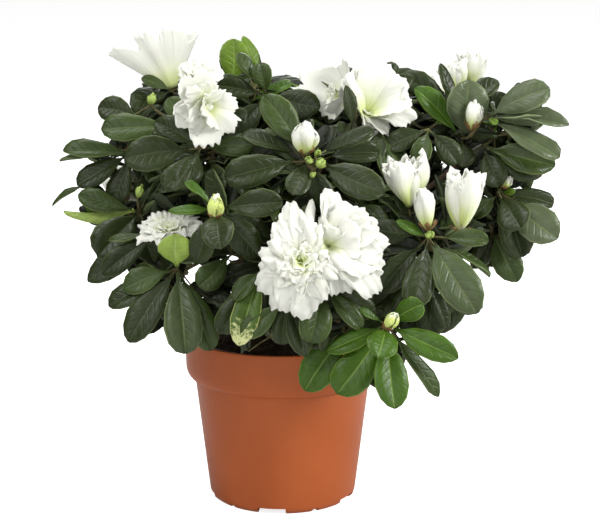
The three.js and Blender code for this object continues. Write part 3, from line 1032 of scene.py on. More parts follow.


# leading shoots: the ones at the front, listed one by one. Each is at an offset (mm) from the middle of its
# mass.
# A leaf is: way it points (clock degrees in the front view, 0 right, 90 up), length, width, lean towards
# the viewer, roll of its upper face away from the viewer (degrees, + is up), tint, and how far out its
# stalk starts. Leaves are listed from the nearest to the deepest.

# The grey and silver tints paint the sheen of leaves that catch the light into their colour.
leadShoots = [
    ("front_left_low", (5, -14, 15), [
        (90, 24, 22, 34, 0, "young", 1), (276, 51, 25, 10, 8, "grey", 3), (237, 50, 21, 5, 15, "dark", 5),
        (202, 31, 17, 3, 20, "mid", 5), (209, 42, 17, 0, 25, "dark", 7), (292, 52, 19, -6, 0, "mid", 4)]),
    ("front_left_low", (-9, 14, 30), [(216, 40, 16, 0, 10, "dark", 3), (187, 28, 9, 5, 70, "mid", 3)]),
    ("front_centre_left", (6, 10, -14), [
        (225, 27, 18, 12, 0, "mid", 2), (181, 36, 19, 0, 38, "dark", 3), (0, 24, 15, 0, 30, "dark", 3)]),
    ("front_low", (2, -7, 33), [
        (228, 24, 12, 12, 20, "mid", 3), (253, 46, 18, 10, 10, "marked", 4),
        (236, 43, 18, 0, 0, "dark", 5), (262, 34, 15, -8, 10, "dark", 3)]),
    ("front_low", (17, -14, 15), [
        (218, 33, 15, 5, 10, "mid", 3), (288, 34, 16, 8, 10, "dark", 3), (262, 26, 14, -5, 0, "dark", 2)]),
    ("front_centre", (0, -4, -14), [
        (258, 34, 21, 10, 10, "mid", 3), (270, 38, 12, 0, 50, "dark", 3), (311, 33, 13, 5, 20, "mid", 3),
        (330, 34, 17, -5, 10, "dark", 4)]),
    ("front_right_low", (3, -10, 19), [
        (252, 27, 20, 48, 0, "fresh", 3), (275, 43, 22, 14, 8, "fresh", 9),
        (335, 43, 18, 8, 15, "fresh", 5), (204, 36, 15, 5, 30, "fresh", 4),
        (234, 46, 25, 5, 8, "fresh", 6), (306, 46, 14, -5, 45, "mid", 9), (31, 24, 16, 25, 0, "fresh", 4),
        (150, 17, 7, 15, 40, "fresh", 3), (48, 28, 14, -10, 0, "dark", 3)]),
    ("front_right_low", (-20, 4, 12), [(234, 43, 23, 0, 5, "fresh", 3), (196, 26, 14, 0, 30, "dark", 3)]),
    ("right_front", (-8, -18, 10), [
        (302, 52, 27, 10, 10, "grey", 4), (257, 42, 20, 14, 0, "dark", 4), (356, 28, 13, 10, 25, "mid", 9),
        (154, 21, 9, 15, 40, "fresh", 2), (229, 38, 18, 0, 5, "dark", 7), (172, 29, 17, -5, 10, "dark", 9),
        (327, 34, 11, -5, 68, "mid", 12), (303, 48, 20, -12, 0, "dark", 10)]),
    ("right_front", (-6, 10, -24), [
        (290, 30, 13, 0, 20, "dark", 3), (272, 32, 19, 0, 10, "dark", 4),
        (200, 24, 14, 0, 10, "dark", 3)]),
    ("right_middle", (-3, -2, 17), [
        (297, 33, 23, 44, 0, "dark", 3), (322, 38, 27, 10, 15, "silver", 10),
        (290, 40, 22, 8, 0, "dark", 4), (222, 20, 13, 10, 20, "mid", 3), (10, 10, 5, 35, 0, "bright", 3),
        (350, 34, 14, -10, 30, "dark", 4)]),
    ("right_middle", (-6, 0, -10), [(297, 34, 20, 5, 5, "mid", 1), (240, 24, 14, -5, 0, "dark", 2)]),
    ("right_upper", (-18, -18, 13), [
        (24, 41, 23, 8, 20, "silver", 3), (354, 50, 15, 4, 50, "silver", 3),
        (0, 32, 12, 12, -62, "silver", 4), (330, 49, 18, 10, 34, "silver", 5),
        (325, 9, 5, 40, 0, "bright", 2)]),
    ("right_upper", (-19, -9, -8), [
        (345, 44, 22, 5, 8, "mid", 4), (334, 38, 19, -5, 0, "dark", 5), (290, 26, 18, 15, 0, "dark", 3),
        (339, 22, 10, 15, 60, "mid", 3)]),
    ("right_upper", (-32, -2, -4), [
        (85, 38, 29, 22, 5, "silver", 2), (134, 42, 16, 12, 25, "fresh", 4), (97, 27, 11, 0, 68, "mid", 3),
        (268, 20, 17, 30, 0, "dark", 2)]),
    ("top_right", (0, -14, -8), [
        (149, 42, 17, 0, 18, "dark", 3), (110, 30, 13, 0, 45, "dark", 3),
        (35, 30, 15, -5, 30, "dark", 4)]),
    ("top_centre", (46, -30, -11), [
        (252, 24, 14, 10, 5, "mid", 2), (205, 28, 15, 0, 10, "dark", 3), (310, 26, 16, 0, 0, "dark", 3)]),
    ("top_centre", (15, -26, -11), [
        (200, 20, 11, 25, 25, "dark", 3), (279, 33, 14, 15, 15, "mid", 3), (300, 30, 14, 8, 20, "mid", 5),
        (265, 21, 12, 30, 0, "dark", 2), (240, 32, 16, -5, 10, "dark", 5)]),
    ("top_centre", (-11, 4, 5), [(47, 25, 11, 0, 60, "dark", 2), (20, 24, 11, -5, 30, "dark", 3)]),
    ("top_centre", (14, 6, 4), [(60, 22, 12, 0, 20, "dark", 3), (30, 24, 12, -5, 10, "dark", 4)]),
    ("front_centre_upper", (-5, -5, 6), [
        (334, 43, 22, 14, 8, "dark", 10), (194, 45, 21, 10, 5, "dark", 9), (247, 27, 16, 32, 0, "dark", 3),
        (23, 34, 13, 5, 20, "dark", 10), (126, 40, 20, 0, 12, "mid", 8), (161, 36, 14, -4, 38, "dark", 9),
        (5, 33, 15, -10, 15, "dark", 12), (290, 30, 18, -12, 0, "dark", 6)]),
    ("front_centre_left", (-3, -5, 18), [
        (279, 31, 21, 42, 0, "dark", 3), (5, 37, 18, 8, 10, "dark", 5), (183, 26, 10, 8, 48, "fresh", 3),
        (140, 22, 9, 5, 55, "fresh", 3), (312, 36, 20, -5, 0, "dark", 4), (250, 32, 17, -10, 5, "dark", 4),
        (330, 34, 17, -12, 5, "dark", 5)]),
    ("front_left_upper", (-7, -8, 1), [
        (189, 40, 23, 8, 5, "dark", 8), (230, 28, 16, 18, 5, "dark", 8), (243, 29, 19, 25, 0, "dark", 3),
        (2, 29, 16, 8, 20, "mid", 5), (40, 32, 16, 0, 10, "dark", 5), (150, 30, 16, -5, 15, "dark", 4)]),
    ("left_upper", (40, -10, 13), [
        (183, 45, 20, 5, 15, "mid", 9), (168, 26, 18, -8, 10, "dark", 33), (122, 18, 14, 0, 10, "mid", 3),
        (210, 30, 17, -5, 5, "dark", 4)]),
    ("left_upper", (4.5, -5, -6), [
        (178, 42, 15, 6, 28, "mid", 2), (186, 44, 12, 0, 70, "mid", 3), (211, 38, 16, 6, 10, "dark", 3),
        (250, 30, 17, 0, 5, "dark", 4), (213, 25, 8, -6, 50, "mid", 38)]),
    ("left_middle", (9, -7, 8), [
        (228, 38, 28, 14, 0, "dark", 2), (165, 37, 15, 6, 22, "mid", 4), (180, 46, 14, 4, 232, "young", 3),
        (285, 30, 19, 0, 5, "dark", 4)]),
    ("left_middle", (12, -10, -14), [(212, 40, 18, 4, 8, "dark", 3)]),
    ("top_centre_left", (-13, -1, 3), [
        (88, 29, 20, 8, 10, "bright", 2), (100, 25, 12, -6, 30, "fresh", 3),
        (200, 28, 14, 0, 15, "dark", 3)]),
    ("top_centre_left", (6, 4, 11), [(116, 25, 13, 0, 45, "bright", 2), (203, 30, 12, 8, 25, "dark", 3)]),
    ("top_centre_left", (11, -21, 0), [
        (346, 32, 20, 8, 5, "dark", 3), (104, 20, 13, 12, 0, "mid", 2), (127, 28, 12, 5, 48, "mid", 6),
        (170, 34, 17, 5, 10, "dark", 4), (230, 30, 17, 0, 0, "dark", 4)]),
    ("front_low", (8, 38, 26), [(198, 34, 17, 0, 0, "dark", 2), (228, 30, 14, -5, 10, "dark", 2)]),
    ("front_right_low", (20, 45, 36), [
        (218, 40, 20, 0, 0, "dark", 0), (190, 34, 14, -5, 10, "dark", 2), (272, 36, 17, 0, 5, "dark", 6)]),
    ("right_front", (23, 17, -35), [(222, 35, 17, 0, 0, "dark", 0), (205, 30, 13, -5, 10, "dark", 2)]),
    ("top_left", (4, -20, -10), [(158, 20, 9, 8, 30, "mid", 1), (205, 16, 8, 5, 10, "dark", 1)]),
    ("top_centre", (-3, -38, -8), [(99, 26, 10, 4, 25, "dark", 0)]),
    ("front_right_low", (15, 40, 20), [(213, 38, 20, 0, 0, "dark", 0), (185, 28, 13, -5, 10, "dark", 2)]),
]

shoots = []  # every shoot: its place and the way it faces; the twigs are grown to these
twigEnd = {"bloom": 5 * mm, "cup": 4 * mm, "leaves": 3 * mm, "leaf": 2 * mm}  # how far under its foot
lead = {
    "step": 1.1 * mm,  # how far each leaf starts behind the one before
    "shapes": 9,  # kinds of blade that they are picked from
    "behind": 7 * mm,  # how far behind them their twig ends
}


def addShoot(foot, heading, under):
    shoots.append((foot - heading * under, heading))


def placeIn(mass, offset):
    # a place at an offset (mm) from the middle of a mass of leaves
    return middleOf("foliage_" + mass) + np.array(offset) * mm


def frontWay(clock, lean):
    flat = math.cos(math.radians(lean))
    a = math.radians(clock)
    return unit(right * math.cos(a) * flat + up * math.sin(a) * flat + near * math.sin(math.radians(lean)))


def frontLeaf(centre, order, row):
    clock, length, width, lean, roll, tint, start = row
    way = frontWay(clock, lean)
    toViewer = unit(near - way * near.dot(way))
    sideways = np.cross(way, toViewer)
    if sideways.dot(up + 0.3 * right) < 0:
        sideways = -sideways
    face = toViewer * math.cos(math.radians(roll)) + sideways * math.sin(math.radians(roll))
    base = centre + way * start * mm - near * order * lead["step"]
    addLeaf(tint, base, way, face, length * mm, width * mm, random.integers(0, lead["shapes"]))


def setLeadShoots():
    for mass, offset, rows in leadShoots:
        centre = placeIn(mass, offset)
        for order, row in enumerate(rows):
            frontLeaf(centre, order, row)
        heading = unit(sum(frontWay(row[0], row[3]) for row in rows) + near * 1.5)
        shoots.append((centre - near * lead["behind"], heading))


setLeadShoots()
print(len(leadShoots), "leading shoots,", sum(len(rows) for rows in leafRows.values()), "leaves")


# leaves of a tint, strewn and made plain

def sprayParts():
    # each tint is a piece of its own, and a common one is two, front and back
    for tint, rows in leafRows.items():
        name = "leaves" + tint.capitalize()
        if len(rows) < blade["most"]:
            yield name, tint, rows
        else:
            yield name + "Front", tint, [row for row in rows if row[0][1] < 0]
            yield name + "Back", tint, [row for row in rows if row[0][1] >= 0]


def makeSprays():
    shapes = shapeCollection("bladeShapes", [makeBlade(i) for i in range(blade["shapes"])])
    tree = sprayTree()
    for name, tint, rows in sprayParts():
        piece = newPiece(name, [row[0] for row in rows], [])
        turns, sizes, numbers = [], [], []
        for _, way, face, length, width, shape in rows:
            turns.append(tuple(Matrix(np.c_[np.cross(way, face), way, face].tolist()).to_euler("XYZ")))
            sizes.append((width, length, (length + width) / 2))
            numbers.append(shape)
        addAttribute(piece.data, "turn", "FLOAT_VECTOR", "POINT", "vector", turns)
        addAttribute(piece.data, "size", "FLOAT_VECTOR", "POINT", "vector", sizes)
        addAttribute(piece.data, "shape", "INT", "POINT", "value", np.array(numbers, np.int32))
        runTree(piece, tree, Size=1.0, Blades=shapes, **bladeFinishes(tint, tints[tint]))
        piece.data.polygons.foreach_set("use_smooth", [True] * len(piece.data.polygons))
        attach(piece, "root")
        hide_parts(*foliageNodes)
        print(piece.name, len(rows), "leaves,", len(piece.data.polygons), "faces")
    dropCollection(shapes)


# blossom: every petal is a ruffled sheet on a curved middle line, made thin and closed afterwards

petal = {
    "grids": ((17 * mm, 12, 37), (9 * mm, 9, 21), (0, 6, 9)),  # least reach and width, then rows and columns
    "thickness": 0.3 * mm,
    "claw": 0.36,  # width at the foot, as a share of the whole
    "shoulder": 0.60,  # share of the reach where the rounded end begins
    "tube": 1.6 * mm,  # radius it is rolled to at the foot
    "frillPitch": 6.0 * mm,
    "frill": 0.8 * mm,
    "fullWidth": 22 * mm,  # narrower petals have smaller frills
    "scallop": 0.5 * mm,
    "lobe": 1.1 * mm,
    "sideFrill": 1.5,  # how much closer the frills stand down the two sides
    "notch": 2.0 * mm,
    "notchWidth": 0.11,  # as a share of the half width
    "curl": 0.16,  # how far a full curl turns the margin out, as a share of the width
    "colour": (0.72, 0.725, 0.645),
    "creamColour": (0.74, 0.77, 0.55),
    "greenColour": (0.56, 0.66, 0.18),
}
petalParts = {}  # piece name to its lists of points, faces, throat values and UVs


def addSheet(piece, points, up, across, share, green, fade):
    # a grid of points with its UVs; share is how far each is from the foot, for the colour of the throat
    part = petalParts.setdefault(piece, {"points": [], "faces": [], "throat": [], "uv": []})
    part["faces"] += gridFaces(*points.shape[:2], start=len(part["points"]))
    part["points"] += points.reshape(-1, 3).tolist()
    throat = np.clip(1.25 * green * (1 - smoothStep(fade[0], fade[1] + 0.5 * green, share)), 0, 1)
    part["throat"] += throat.ravel().tolist()
    part["uv"] += np.stack([across + 0 * up, up + 0 * across], axis=2).reshape(-1, 2).tolist()


def addPetal(piece, foot, axis, tip, width, spread, frill, curl, green, bulge=None, pointed=0.15, flare=1.0):
    # spread opens the cross-section, curl turns the margin outwards, green is how far up the colour of the
    # throat comes, bulge is how far the middle line swells out, flare 0 makes it straight
    reach = np.linalg.norm(tip - foot)
    rows, columns = next(grid[1:] for grid in petal["grids"] if min(reach, width) > grid[0])
    outward = tip - foot - axis * np.dot(tip - foot, axis)
    if np.linalg.norm(outward) < 0.03 * reach:
        outward = np.cross(axis, random.uniform(-1, 1, 3))
    outward = unit(outward)
    across = unit(np.cross(axis, outward))
    t = np.linspace(0, 1, rows)[:, None]
    u = np.linspace(-1, 1, columns)[None, :]
    s = np.sin(u * math.pi / 2)
    rounded = (1 - np.abs(s) ** 2.5) ** 0.45 * (1 - pointed) + (1 - np.abs(s)) * pointed
    along = t * (petal["shoulder"] + (1 - petal["shoulder"]) * rounded)
    half = width / 2 * (petal["claw"] + (1 - petal["claw"]) * smoothStep(0, 1, t))

    phases = random.uniform(0, 2 * math.pi, 6)
    waves = math.pi * 1.45 * width / petal["frillPitch"] * random.uniform(0.85, 1.15)
    turn = waves * (u + petal["sideFrill"] * (1 - t) * u ** 3)
    edge = np.maximum(t, np.abs(u) * smoothStep(0.05, 0.6, t))
    margin = smoothStep(0.76, 1.0, edge)
    small = min(1, width / petal["fullWidth"])
    inset = petal["scallop"] * np.sin(turn * 1.5 + phases[2])
    inset = inset + petal["lobe"] * small * np.sin(turn * 0.37 + phases[4])
    fromNotch = (u - random.uniform(-0.6, 0.6)) / petal["notchWidth"]
    inset = inset - petal["notch"] * random.uniform(0, 1.6) * np.exp(-fromNotch ** 2)
    along = along * (1 + inset * margin / reach)
    sideways = s * half * (1 + inset * margin / width * 1.2)

    bend = foot + axis * reach * 0.5 + outward * (reach * 0.07 if bulge is None else bulge)
    bend = (foot + tip) / 2 * (1 - flare) + bend * flare
    a = along[..., None]
    middle = foot * (1 - a) ** 2 + bend * 2 * a * (1 - a) + tip * a ** 2
    tangent = 2 * (1 - a) * (bend - foot) + 2 * a * (tip - bend)
    tangent = tangent / np.linalg.norm(tangent, axis=2, keepdims=True)
    inward = np.cross(tangent, across[None, None, :])
    radius = petal["tube"] + spread * width * along ** 1.15
    angle = np.clip(sideways / radius, -2.6, 2.6)
    crimp = np.sin(turn + phases[0]) + 0.4 * np.sin(turn * 1.7 + phases[1])
    lift = frill * petal["frill"] * small * crimp * margin
    lift = lift + 0.045 * width * t * np.sin(math.pi * 1.6 * u + phases[3]) * random.uniform(0.5, 1.4)
    lift = lift + 0.03 * width * smoothStep(0.4, 1, t) * np.sin(math.pi * 3.1 * u + phases[5])
    lift = lift + 0.02 * width * np.sin(math.pi * 1.3 * t + phases[4]) * np.cos(math.pi * u * 0.5)
    lift = lift - curl * width * petal["curl"] * smoothStep(0.5, 1, edge) ** 2
    points = middle + across * (radius * np.sin(angle))[..., None]
    points = points + inward * (radius * (1 - np.cos(angle)) + lift)[..., None]

    addSheet(piece, points, t, (s + 1) / 2, along, green, (0.1, 0.4))


def addWhorl(piece, foot, axis, count, reach, width, opening, spread, frill, curl, green,
             bulge=None, turn=0.0, pointed=0.15):
    # petals all round an axis; opening is the angle from the axis to their tips
    side = unit(np.cross(axis, (0.2, 0.35, 0.9)))
    for i in range(count):
        around = 360 * i / count + turn + random.uniform(-9, 9)
        outward = turnAbout(side, axis, around)
        angle = math.radians(opening + random.uniform(-5, 5))
        length = reach * random.uniform(0.92, 1.06)
        tip = foot + (axis * math.cos(angle) + outward * math.sin(angle)) * length
        wide = width * random.uniform(0.9, 1.1)
        start = foot + outward * 0.6 * mm
        addPetal(piece, start, axis, tip, wide, spread, frill, curl, green, bulge, pointed)


skirt = {
    "rows": 15,
    "around": 193,
    "tube": 2.4 * mm,
    "smooth": 5,  # how many turns of the rim's outline are kept
    "lobes": 6,
    "notch": 0.19,  # how far the rim draws in between two lobes
    "ribs": ((4, 0.9 * mm), (7, 0.6 * mm)),  # waves round the rim and how high they stand
    "frills": (29, 0.9 * mm),
    "scallops": ((13, 0.022), (37, 0.009)),  # shares of the length
}


def addSkirt(piece, foot, axis, tips, green, flare):
    # a funnel grown together from the foot, with a lobe of its rim at each tip
    side = unit(np.cross(axis, (0.2, 0.35, 0.9)))
    other = np.cross(axis, side)
    lobes = []
    for tip in tips:
        x, y, z = (tip - foot) @ side, (tip - foot) @ other, (tip - foot) @ axis
        lobes.append((math.atan2(y, x), z, math.hypot(y, x)))
    lobes = np.array(sorted(lobes))
    turns = np.append(lobes[:, 0], lobes[0, 0] + 2 * math.pi)
    around = np.linspace(turns[0], turns[-1], skirt["around"])
    which = np.clip(np.searchsorted(turns, around, side="right") - 1, 0, len(lobes) - 1)
    share = (around - turns[which]) / (turns[which + 1] - turns[which])
    blend = (1 - np.cos(math.pi * share)) / 2
    rim = lobes[which] * (1 - blend)[:, None] + lobes[(which + 1) % len(lobes)] * blend[:, None]
    tones = np.fft.rfft(rim[:-1], axis=0)
    tones *= np.exp(-(np.arange(len(tones)) / skirt["smooth"]) ** 2)[:, None]
    rim = np.fft.irfft(tones, len(rim) - 1, axis=0)
    rim = np.vstack([rim, rim[:1]])
    cut = skirt["notch"] * np.abs(np.sin(skirt["lobes"] / 2 * around + random.uniform(0, math.pi))) ** 8
    for count, depth in skirt["scallops"]:
        cut = cut + depth * np.sin(count * around + 2 * np.sin(2 * around) + random.uniform(0, 2 * math.pi))
    t = np.linspace(0, 1, skirt["rows"])[:, None]
    start = np.stack([np.zeros(len(around)), np.full(len(around), skirt["tube"])], axis=-1)
    end = rim[:, 1:]
    bend = (start + end) / 2 * (1 - flare) + np.stack([end[:, 0] * 0.75, end[:, 1] * 0.22], axis=-1) * flare
    share = (t * (1 - cut * t ** 3))[..., None]
    profile = start * (1 - share) ** 2 + bend * 2 * share * (1 - share) + end * share ** 2
    wave = 0 * around
    for count, height in skirt["ribs"]:
        ridge = height * np.sin(count * around + 1.5 * t + random.uniform(0, 2 * math.pi))
        wave = wave + ridge * random.uniform(0.6, 1.2)
    count, height = skirt["frills"]
    uneven = random.uniform(0, 2 * math.pi, 3)
    frill = height * np.sin(count * around + 2.5 * np.sin(3 * around + uneven[0]))
    frill = frill * (0.65 + 0.5 * np.sin(5 * around + uneven[1]))
    frill = frill + 0.3 * height * np.sin(1.7 * count * around + uneven[2])
    out = profile[..., 1] + wave * t ** 1.6 + frill * smoothStep(0.88, 1, t)
    ways = side * np.cos(around)[:, None] + other * np.sin(around)[:, None]
    rise = profile[..., 0] + 0.6 * frill * smoothStep(0.9, 1, t)
    points = foot + axis * rise[..., None] + ways * out[..., None]
    addSheet(piece, points, t, around[None, :] / (2 * math.pi) * 4, t + 0 * around, green, (0.05, 0.3))


# how the middle of each kind of bloom is filled: count, reach, width, opening, spread, frill, curl, green
whorls = {
    "rosette": [(5, 21, 26, 60, 1.2, 1.6, 0.4, 0.8), (4, 17, 22, 42, 0.9, 1.7, 0.4, 1.1),
                (4, 13, 16, 26, 0.6, 1.6, 0.3, 1.4), (3, 9, 11, 12, 0.4, 1.5, 0.2, 1.7)],
    "frilled": [(6, 25, 25, 74, 1.3, 1.7, 0.4, 0.6), (6, 20, 20, 56, 1.0, 1.7, 0.4, 0.9),
                (5, 15, 15, 36, 0.6, 1.6, 0.3, 1.2), (4, 10, 10, 18, 0.4, 1.5, 0.1, 1.5)],
    "double": [(6, 28, 26, 76, 1.0, 1.3, 0.4, 0.4), (6, 23, 21, 58, 0.8, 1.5, 0.4, 0.6),
               (5, 17, 16, 38, 0.6, 1.5, 0.3, 0.9), (4, 11, 11, 18, 0.4, 1.2, 0.1, 1.3)],
    "single": [(5, 30, 27, 64, 0.9, 1.2, 0.5, 0.6), (5, 22, 20, 40, 0.6, 1.4, 0.4, 0.9),
               (3, 13, 11, 18, 0.4, 1.2, 0.1, 1.2)],
    "heart": [(5, 15, 14, 34, 0.5, 1.4, 0.3, 0.9), (4, 10, 10, 16, 0.4, 1.2, 0.1, 1.3)],
}
# cups and buds: count, then reach, width, opening and swelling as shares of the height and width, frill,
# curl, green
cups = {
    "cup": [(3, 0.97, 1.25, 0.74, 0.80, 2.6, 0.10, 0.75), (3, 0.93, 1.05, 0.56, 0.66, 2.6, 0.0, 0.5),
            (3, 0.84, 0.60, 0.20, 0.36, 1.2, 0.0, 0.4)],
    "bud": [(5, 0.94, 1.0, 0.20, 0.92, 0.9, -0.1, 0.75), (4, 0.98, 0.8, 0.10, 0.55, 1.4, 0.0, 0.5)],
    "greenBud": [(4, 1.0, 0.95, 5), (4, 0.9, 0.9, 8)],  # count, reach, width and opening alone
}


def fillWhorls(piece, kind, foot, axis, scale):
    for layer, (count, reach, width, opening, *look) in enumerate(whorls[kind]):
        addWhorl(piece, foot, axis, count, reach * scale, width * scale, opening, *look, turn=layer * 33)


# blooms at the front: foot as an offset (mm) from the middle of a mass, axis (clock, lean), own petals
# (clock, reach, width, lean of the tip), what fills the middle, its size, how far the throat's colour comes
# up, and how flat the petals are and how much they flare
leadBlooms = [
    ("top_left", (3, -15, 8), (112, 0), [], "heart", 0.9, 0.35, 0.8, 0.8),
    ("front_left_upper", (-8, -8, 30), (335, 38), [
        (120, 14, 24, 52), (215, 18, 28, 46), (296, 23, 26, 40), (255, 22, 26, 30), (20, 18, 20, 30),
        (270, 15, 16, 60)], "heart", 0.6, 0.8, 1.2, 0.9),
    ("front_left_upper", (-9, 6, 38), (70, 42), [
        (146, 17, 22, 22), (108, 18, 22, 10), (72, 17, 21, 15), (28, 18, 21, 20), (345, 14, 18, 40),
        (190, 13, 18, 40)], "heart", 0.8, 0.7, 1.2, 0.9),
    ("top_centre", (-8, 2, 3), (166, 24), [], "heart", 0.8, 0.4, 0.9, 0.8),
    ("top_centre", (5, -14, -5), (55, 52), [
        (95, 35, 38, 18), (62, 37, 38, 20), (28, 36, 33, 22), (354, 34, 24, 15), (292, 25, 19, 24),
        (322, 22, 18, 30), (112, 30, 28, 6)], "heart", 0.6, 0.7, 1.1, 0.9),
    ("front_centre", (-13, -17, 2), (95, 78), [
        (268, 34, 34, 8), (228, 33, 32, 4), (184, 25, 32, 10), (143, 26, 32, 6), (110, 30, 30, 10),
        (86, 29, 26, 4), (103, 39, 17, -4), (95, 37, 12, 2), (80, 43, 8, -20), (312, 26, 28, 14)],
        "rosette", 0.85, 0.5, 2.0, 0.8),
    ("front_centre", (4, -2, 9), (40, 66), [
        (90, 37, 16, 4), (84, 33, 16, 8), (68, 28, 28, 8), (42, 32, 32, 12), (5, 36, 34, 10),
        (340, 36, 32, 18), (316, 43, 28, 8), (288, 32, 32, 12), (255, 27, 26, 20), (25, 24, 30, 34),
        (320, 24, 28, 36), (60, 18, 22, 44)], None, 1.0, 0.55, 1.8, 0.8),
    ("front_left_low", (0, 5, 29), (95, 34), [], "frilled", 0.9, 0.6, 1.0, 1.0),
    ("front_left_low", (15, 6, 29), (20, 20), [
        (48, 14, 14, 10), (15, 15, 14, 20), (345, 14, 14, 20), (300, 12, 12, 24)],
        None, 1.0, 0.5, 1.0, 0.8),
]
leadSkirts = [  # the same for the funnels: foot, axis, tips of the lobes (clock, reach, lean), green, flare
    ("top_left", (5, -16, -9), (112, 0), [
        (157, 50, 8), (152, 49, -8), (132, 43, 16), (112, 42, 22), (92, 42, 19), (68, 39, 10),
        (60, 39, -6), (84, 45, -18), (114, 45, -22), (136, 45, -16)], 0.65, -0.05),
    ("front_left_upper", (-8, -8, 30), (335, 38), [
        (62, 20, 14), (95, 23, 24), (140, 18, 34), (200, 18, 32), (254, 28, 14), (288, 32, 6),
        (325, 28, 8), (346, 29, 2), (18, 17, 12)], 0.9, 0.5),
    ("top_centre", (-5, 3, 3), (166, 24), [
        (171, 37, 12), (157, 39, 0), (138, 32, -10), (102, 26, -12), (186, 30, 30), (206, 26, 34),
        (238, 23, 30), (272, 17, 16)], 0.5, -0.2),
]
leadCups = [  # foot, axis, height, width, kind, brown scales at the foot, how green it is
    ("top_right", (0, 6, 1), (98, 0), 21, 18, "cup", 0, 1.0),
    ("top_right", (10, 12, 1), (82, 0), 29, 18, "cup", 0, 1.0),
    ("right_front", (-19, 4, 24), (97, 8), 34, 26, "cup", 0, 1.0),
    ("right_front", (-8, -16, 14), (97, 12), 27, 15, "bud", 6, 1.0),
    ("right_front", (12, -8, 12), (84, 6), 39, 25, "cup", 5, 1.0),
    ("front_centre_upper", (-7, -6, 8), (92, 14), 21, 17, "bud", 4, 1.0),
    ("right_upper", (-27, -10, 3), (80, 10), 20, 13, "bud", 6, 1.0),
    ("front_centre_left", (-3, -10, 12), (88, 12), 16, 11, "bud", 5, 3.2),
    ("front_right_low", (2, -14, 17), (58, 14), 13, 8, "bud", 5, 2.6),
    ("right_middle", (-1, -4, 22), (48, 10), 9, 7, "bud", 4, 1.4),
]


def bloomPiece(foot):
    side = "Left" if foot[0] < 0 else "Right"
    return ("petalsBack" if foot[1] > 30 * mm else "petals") + side


def setLeadBlooms():
    for mass, offset, axis, petals, kind, size, green, flat, flare in leadBlooms:
        foot, heading = placeIn(mass, offset), frontWay(*axis)
        piece = bloomPiece(foot)
        for clock, reach, width, lean in petals:
            tip = foot + frontWay(clock, lean) * reach * mm
            addPetal(piece, foot, heading, tip, width * mm, flat, 1.4, 0.3, green, flare=flare)
        if kind:
            fillWhorls(piece, kind, foot + heading * 1.5 * mm, heading, size * mm)
        addShoot(foot, heading, twigEnd["bloom"])
    for mass, offset, axis, tips, green, flare in leadSkirts:
        foot = placeIn(mass, offset)
        ends = [foot + frontWay(clock, lean) * reach * mm for clock, reach, lean in tips]
        addSkirt(bloomPiece(foot), foot, frontWay(*axis), ends, green, flare)
    for mass, offset, axis, height, width, kind, scales, green in leadCups:
        foot, heading = placeIn(mass, offset), frontWay(*axis)
        addCup(foot, heading, height * mm, width * mm, kind, scales, green)
        addShoot(foot, heading, twigEnd["cup"])


def addCup(foot, heading, height, width, kind, scales, greener=1.0):
    for layer, (count, reach, wide, opening, swelling, frill, curl, green) in enumerate(cups[kind]):
        angle = math.degrees(math.atan2(opening * width / 2, reach * height))
        addWhorl(bloomPiece(foot), foot, heading, count, reach * height, wide * width, angle,
                 0.36, frill, curl, green * greener, bulge=swelling * width, turn=layer * 55)
    tall = min(height * 0.46, 9 * mm) if kind == "bud" else 6 * mm
    angle = math.degrees(math.atan2(width * 0.46, tall))
    addWhorl("budScales", foot - heading * 1 * mm, heading, scales, tall, 3.6 * mm, angle, 0.5, 0.1, 0.3, 0.0,
             bulge=width * 0.42, pointed=0.8)


def petalFinish():
    material, tree, shader = newFinish(
        "whitePetal", petal["colour"], 0.5, Specular_IOR_Level=0.25,
        Subsurface_Weight=0.4, Subsurface_Scale=0.002, Subsurface_Radius=(1, 1, 1))
    throat = addNode(tree, "ShaderNodeAttribute", attribute_name="throat").outputs["Fac"]
    streak = placeGroup(tree, lengthwise, Streaks=22, Stretch=1.4).outputs[0]
    blotch = placeGroup(tree, mottle, Blotch_Scale=160, Grain_Scale=1200).outputs["Blotch"]
    mask = calc(tree, "MULTIPLY", throat, calc(tree, "MULTIPLY_ADD", streak, 0.7, 0.65))
    ramp = addNode(tree, "ShaderNodeValToRGB", {0: mask})
    ramp.color_ramp.elements[0].color = (*petal["colour"], 1)
    ramp.color_ramp.elements[1].color = (*petal["greenColour"], 1)
    ramp.color_ramp.elements[1].position = 0.95
    ramp.color_ramp.elements.new(0.4).color = (*petal["creamColour"], 1)
    dress(tree, shader, ramp.outputs[0], blotch, (0.42, 0.58), streak, 0.25 * mm)
    return material


def streakedFinish(name, colour, pale, roughness, streaks, stretch):
    material, tree, shader = newFinish(name, colour, roughness[0])
    streak = placeGroup(tree, lengthwise, Streaks=streaks, Stretch=stretch).outputs[0]
    dress(tree, shader, blendColours(tree, streak, colour, pale), streak, roughness, streak, 0.2 * mm)
    return material


# green buds: foot, axis, height, width
leadBuds = [
    ("front_centre_upper", (-5, -12, 4), (85, 40), 5, 6),
    ("front_centre_upper", (0, -12, 2), (40, 40), 8, 8),
    ("front_centre_upper", (-3, -12, -2), (280, 55), 5, 5),
    ("front_centre_upper", (-1, -9, 8), (60, 30), 5, 5),
    ("left_middle", (8, -6, 17), (70, 15), 9, 6),
    ("left_upper", (17, 4, 24), (80, 10), 8, 6),
    ("right_front", (-8, -22, 10), (85, 45), 6, 6),
]


def setLeadBuds():
    for mass, offset, axis, height, width in leadBuds:
        foot, heading = placeIn(mass, offset), frontWay(*axis)
        for layer, (count, reach, wide, opening) in enumerate(cups["greenBud"]):
            tall, broad = height * mm * reach, width * mm * wide * 0.85
            addWhorl("greenBuds", foot, heading, count, tall, broad, opening,
                     0.5, 0.05, -0.3, 0.0, bulge=width * mm * 0.7, turn=layer * 45, pointed=0.7)
        addShoot(foot, heading, 0)


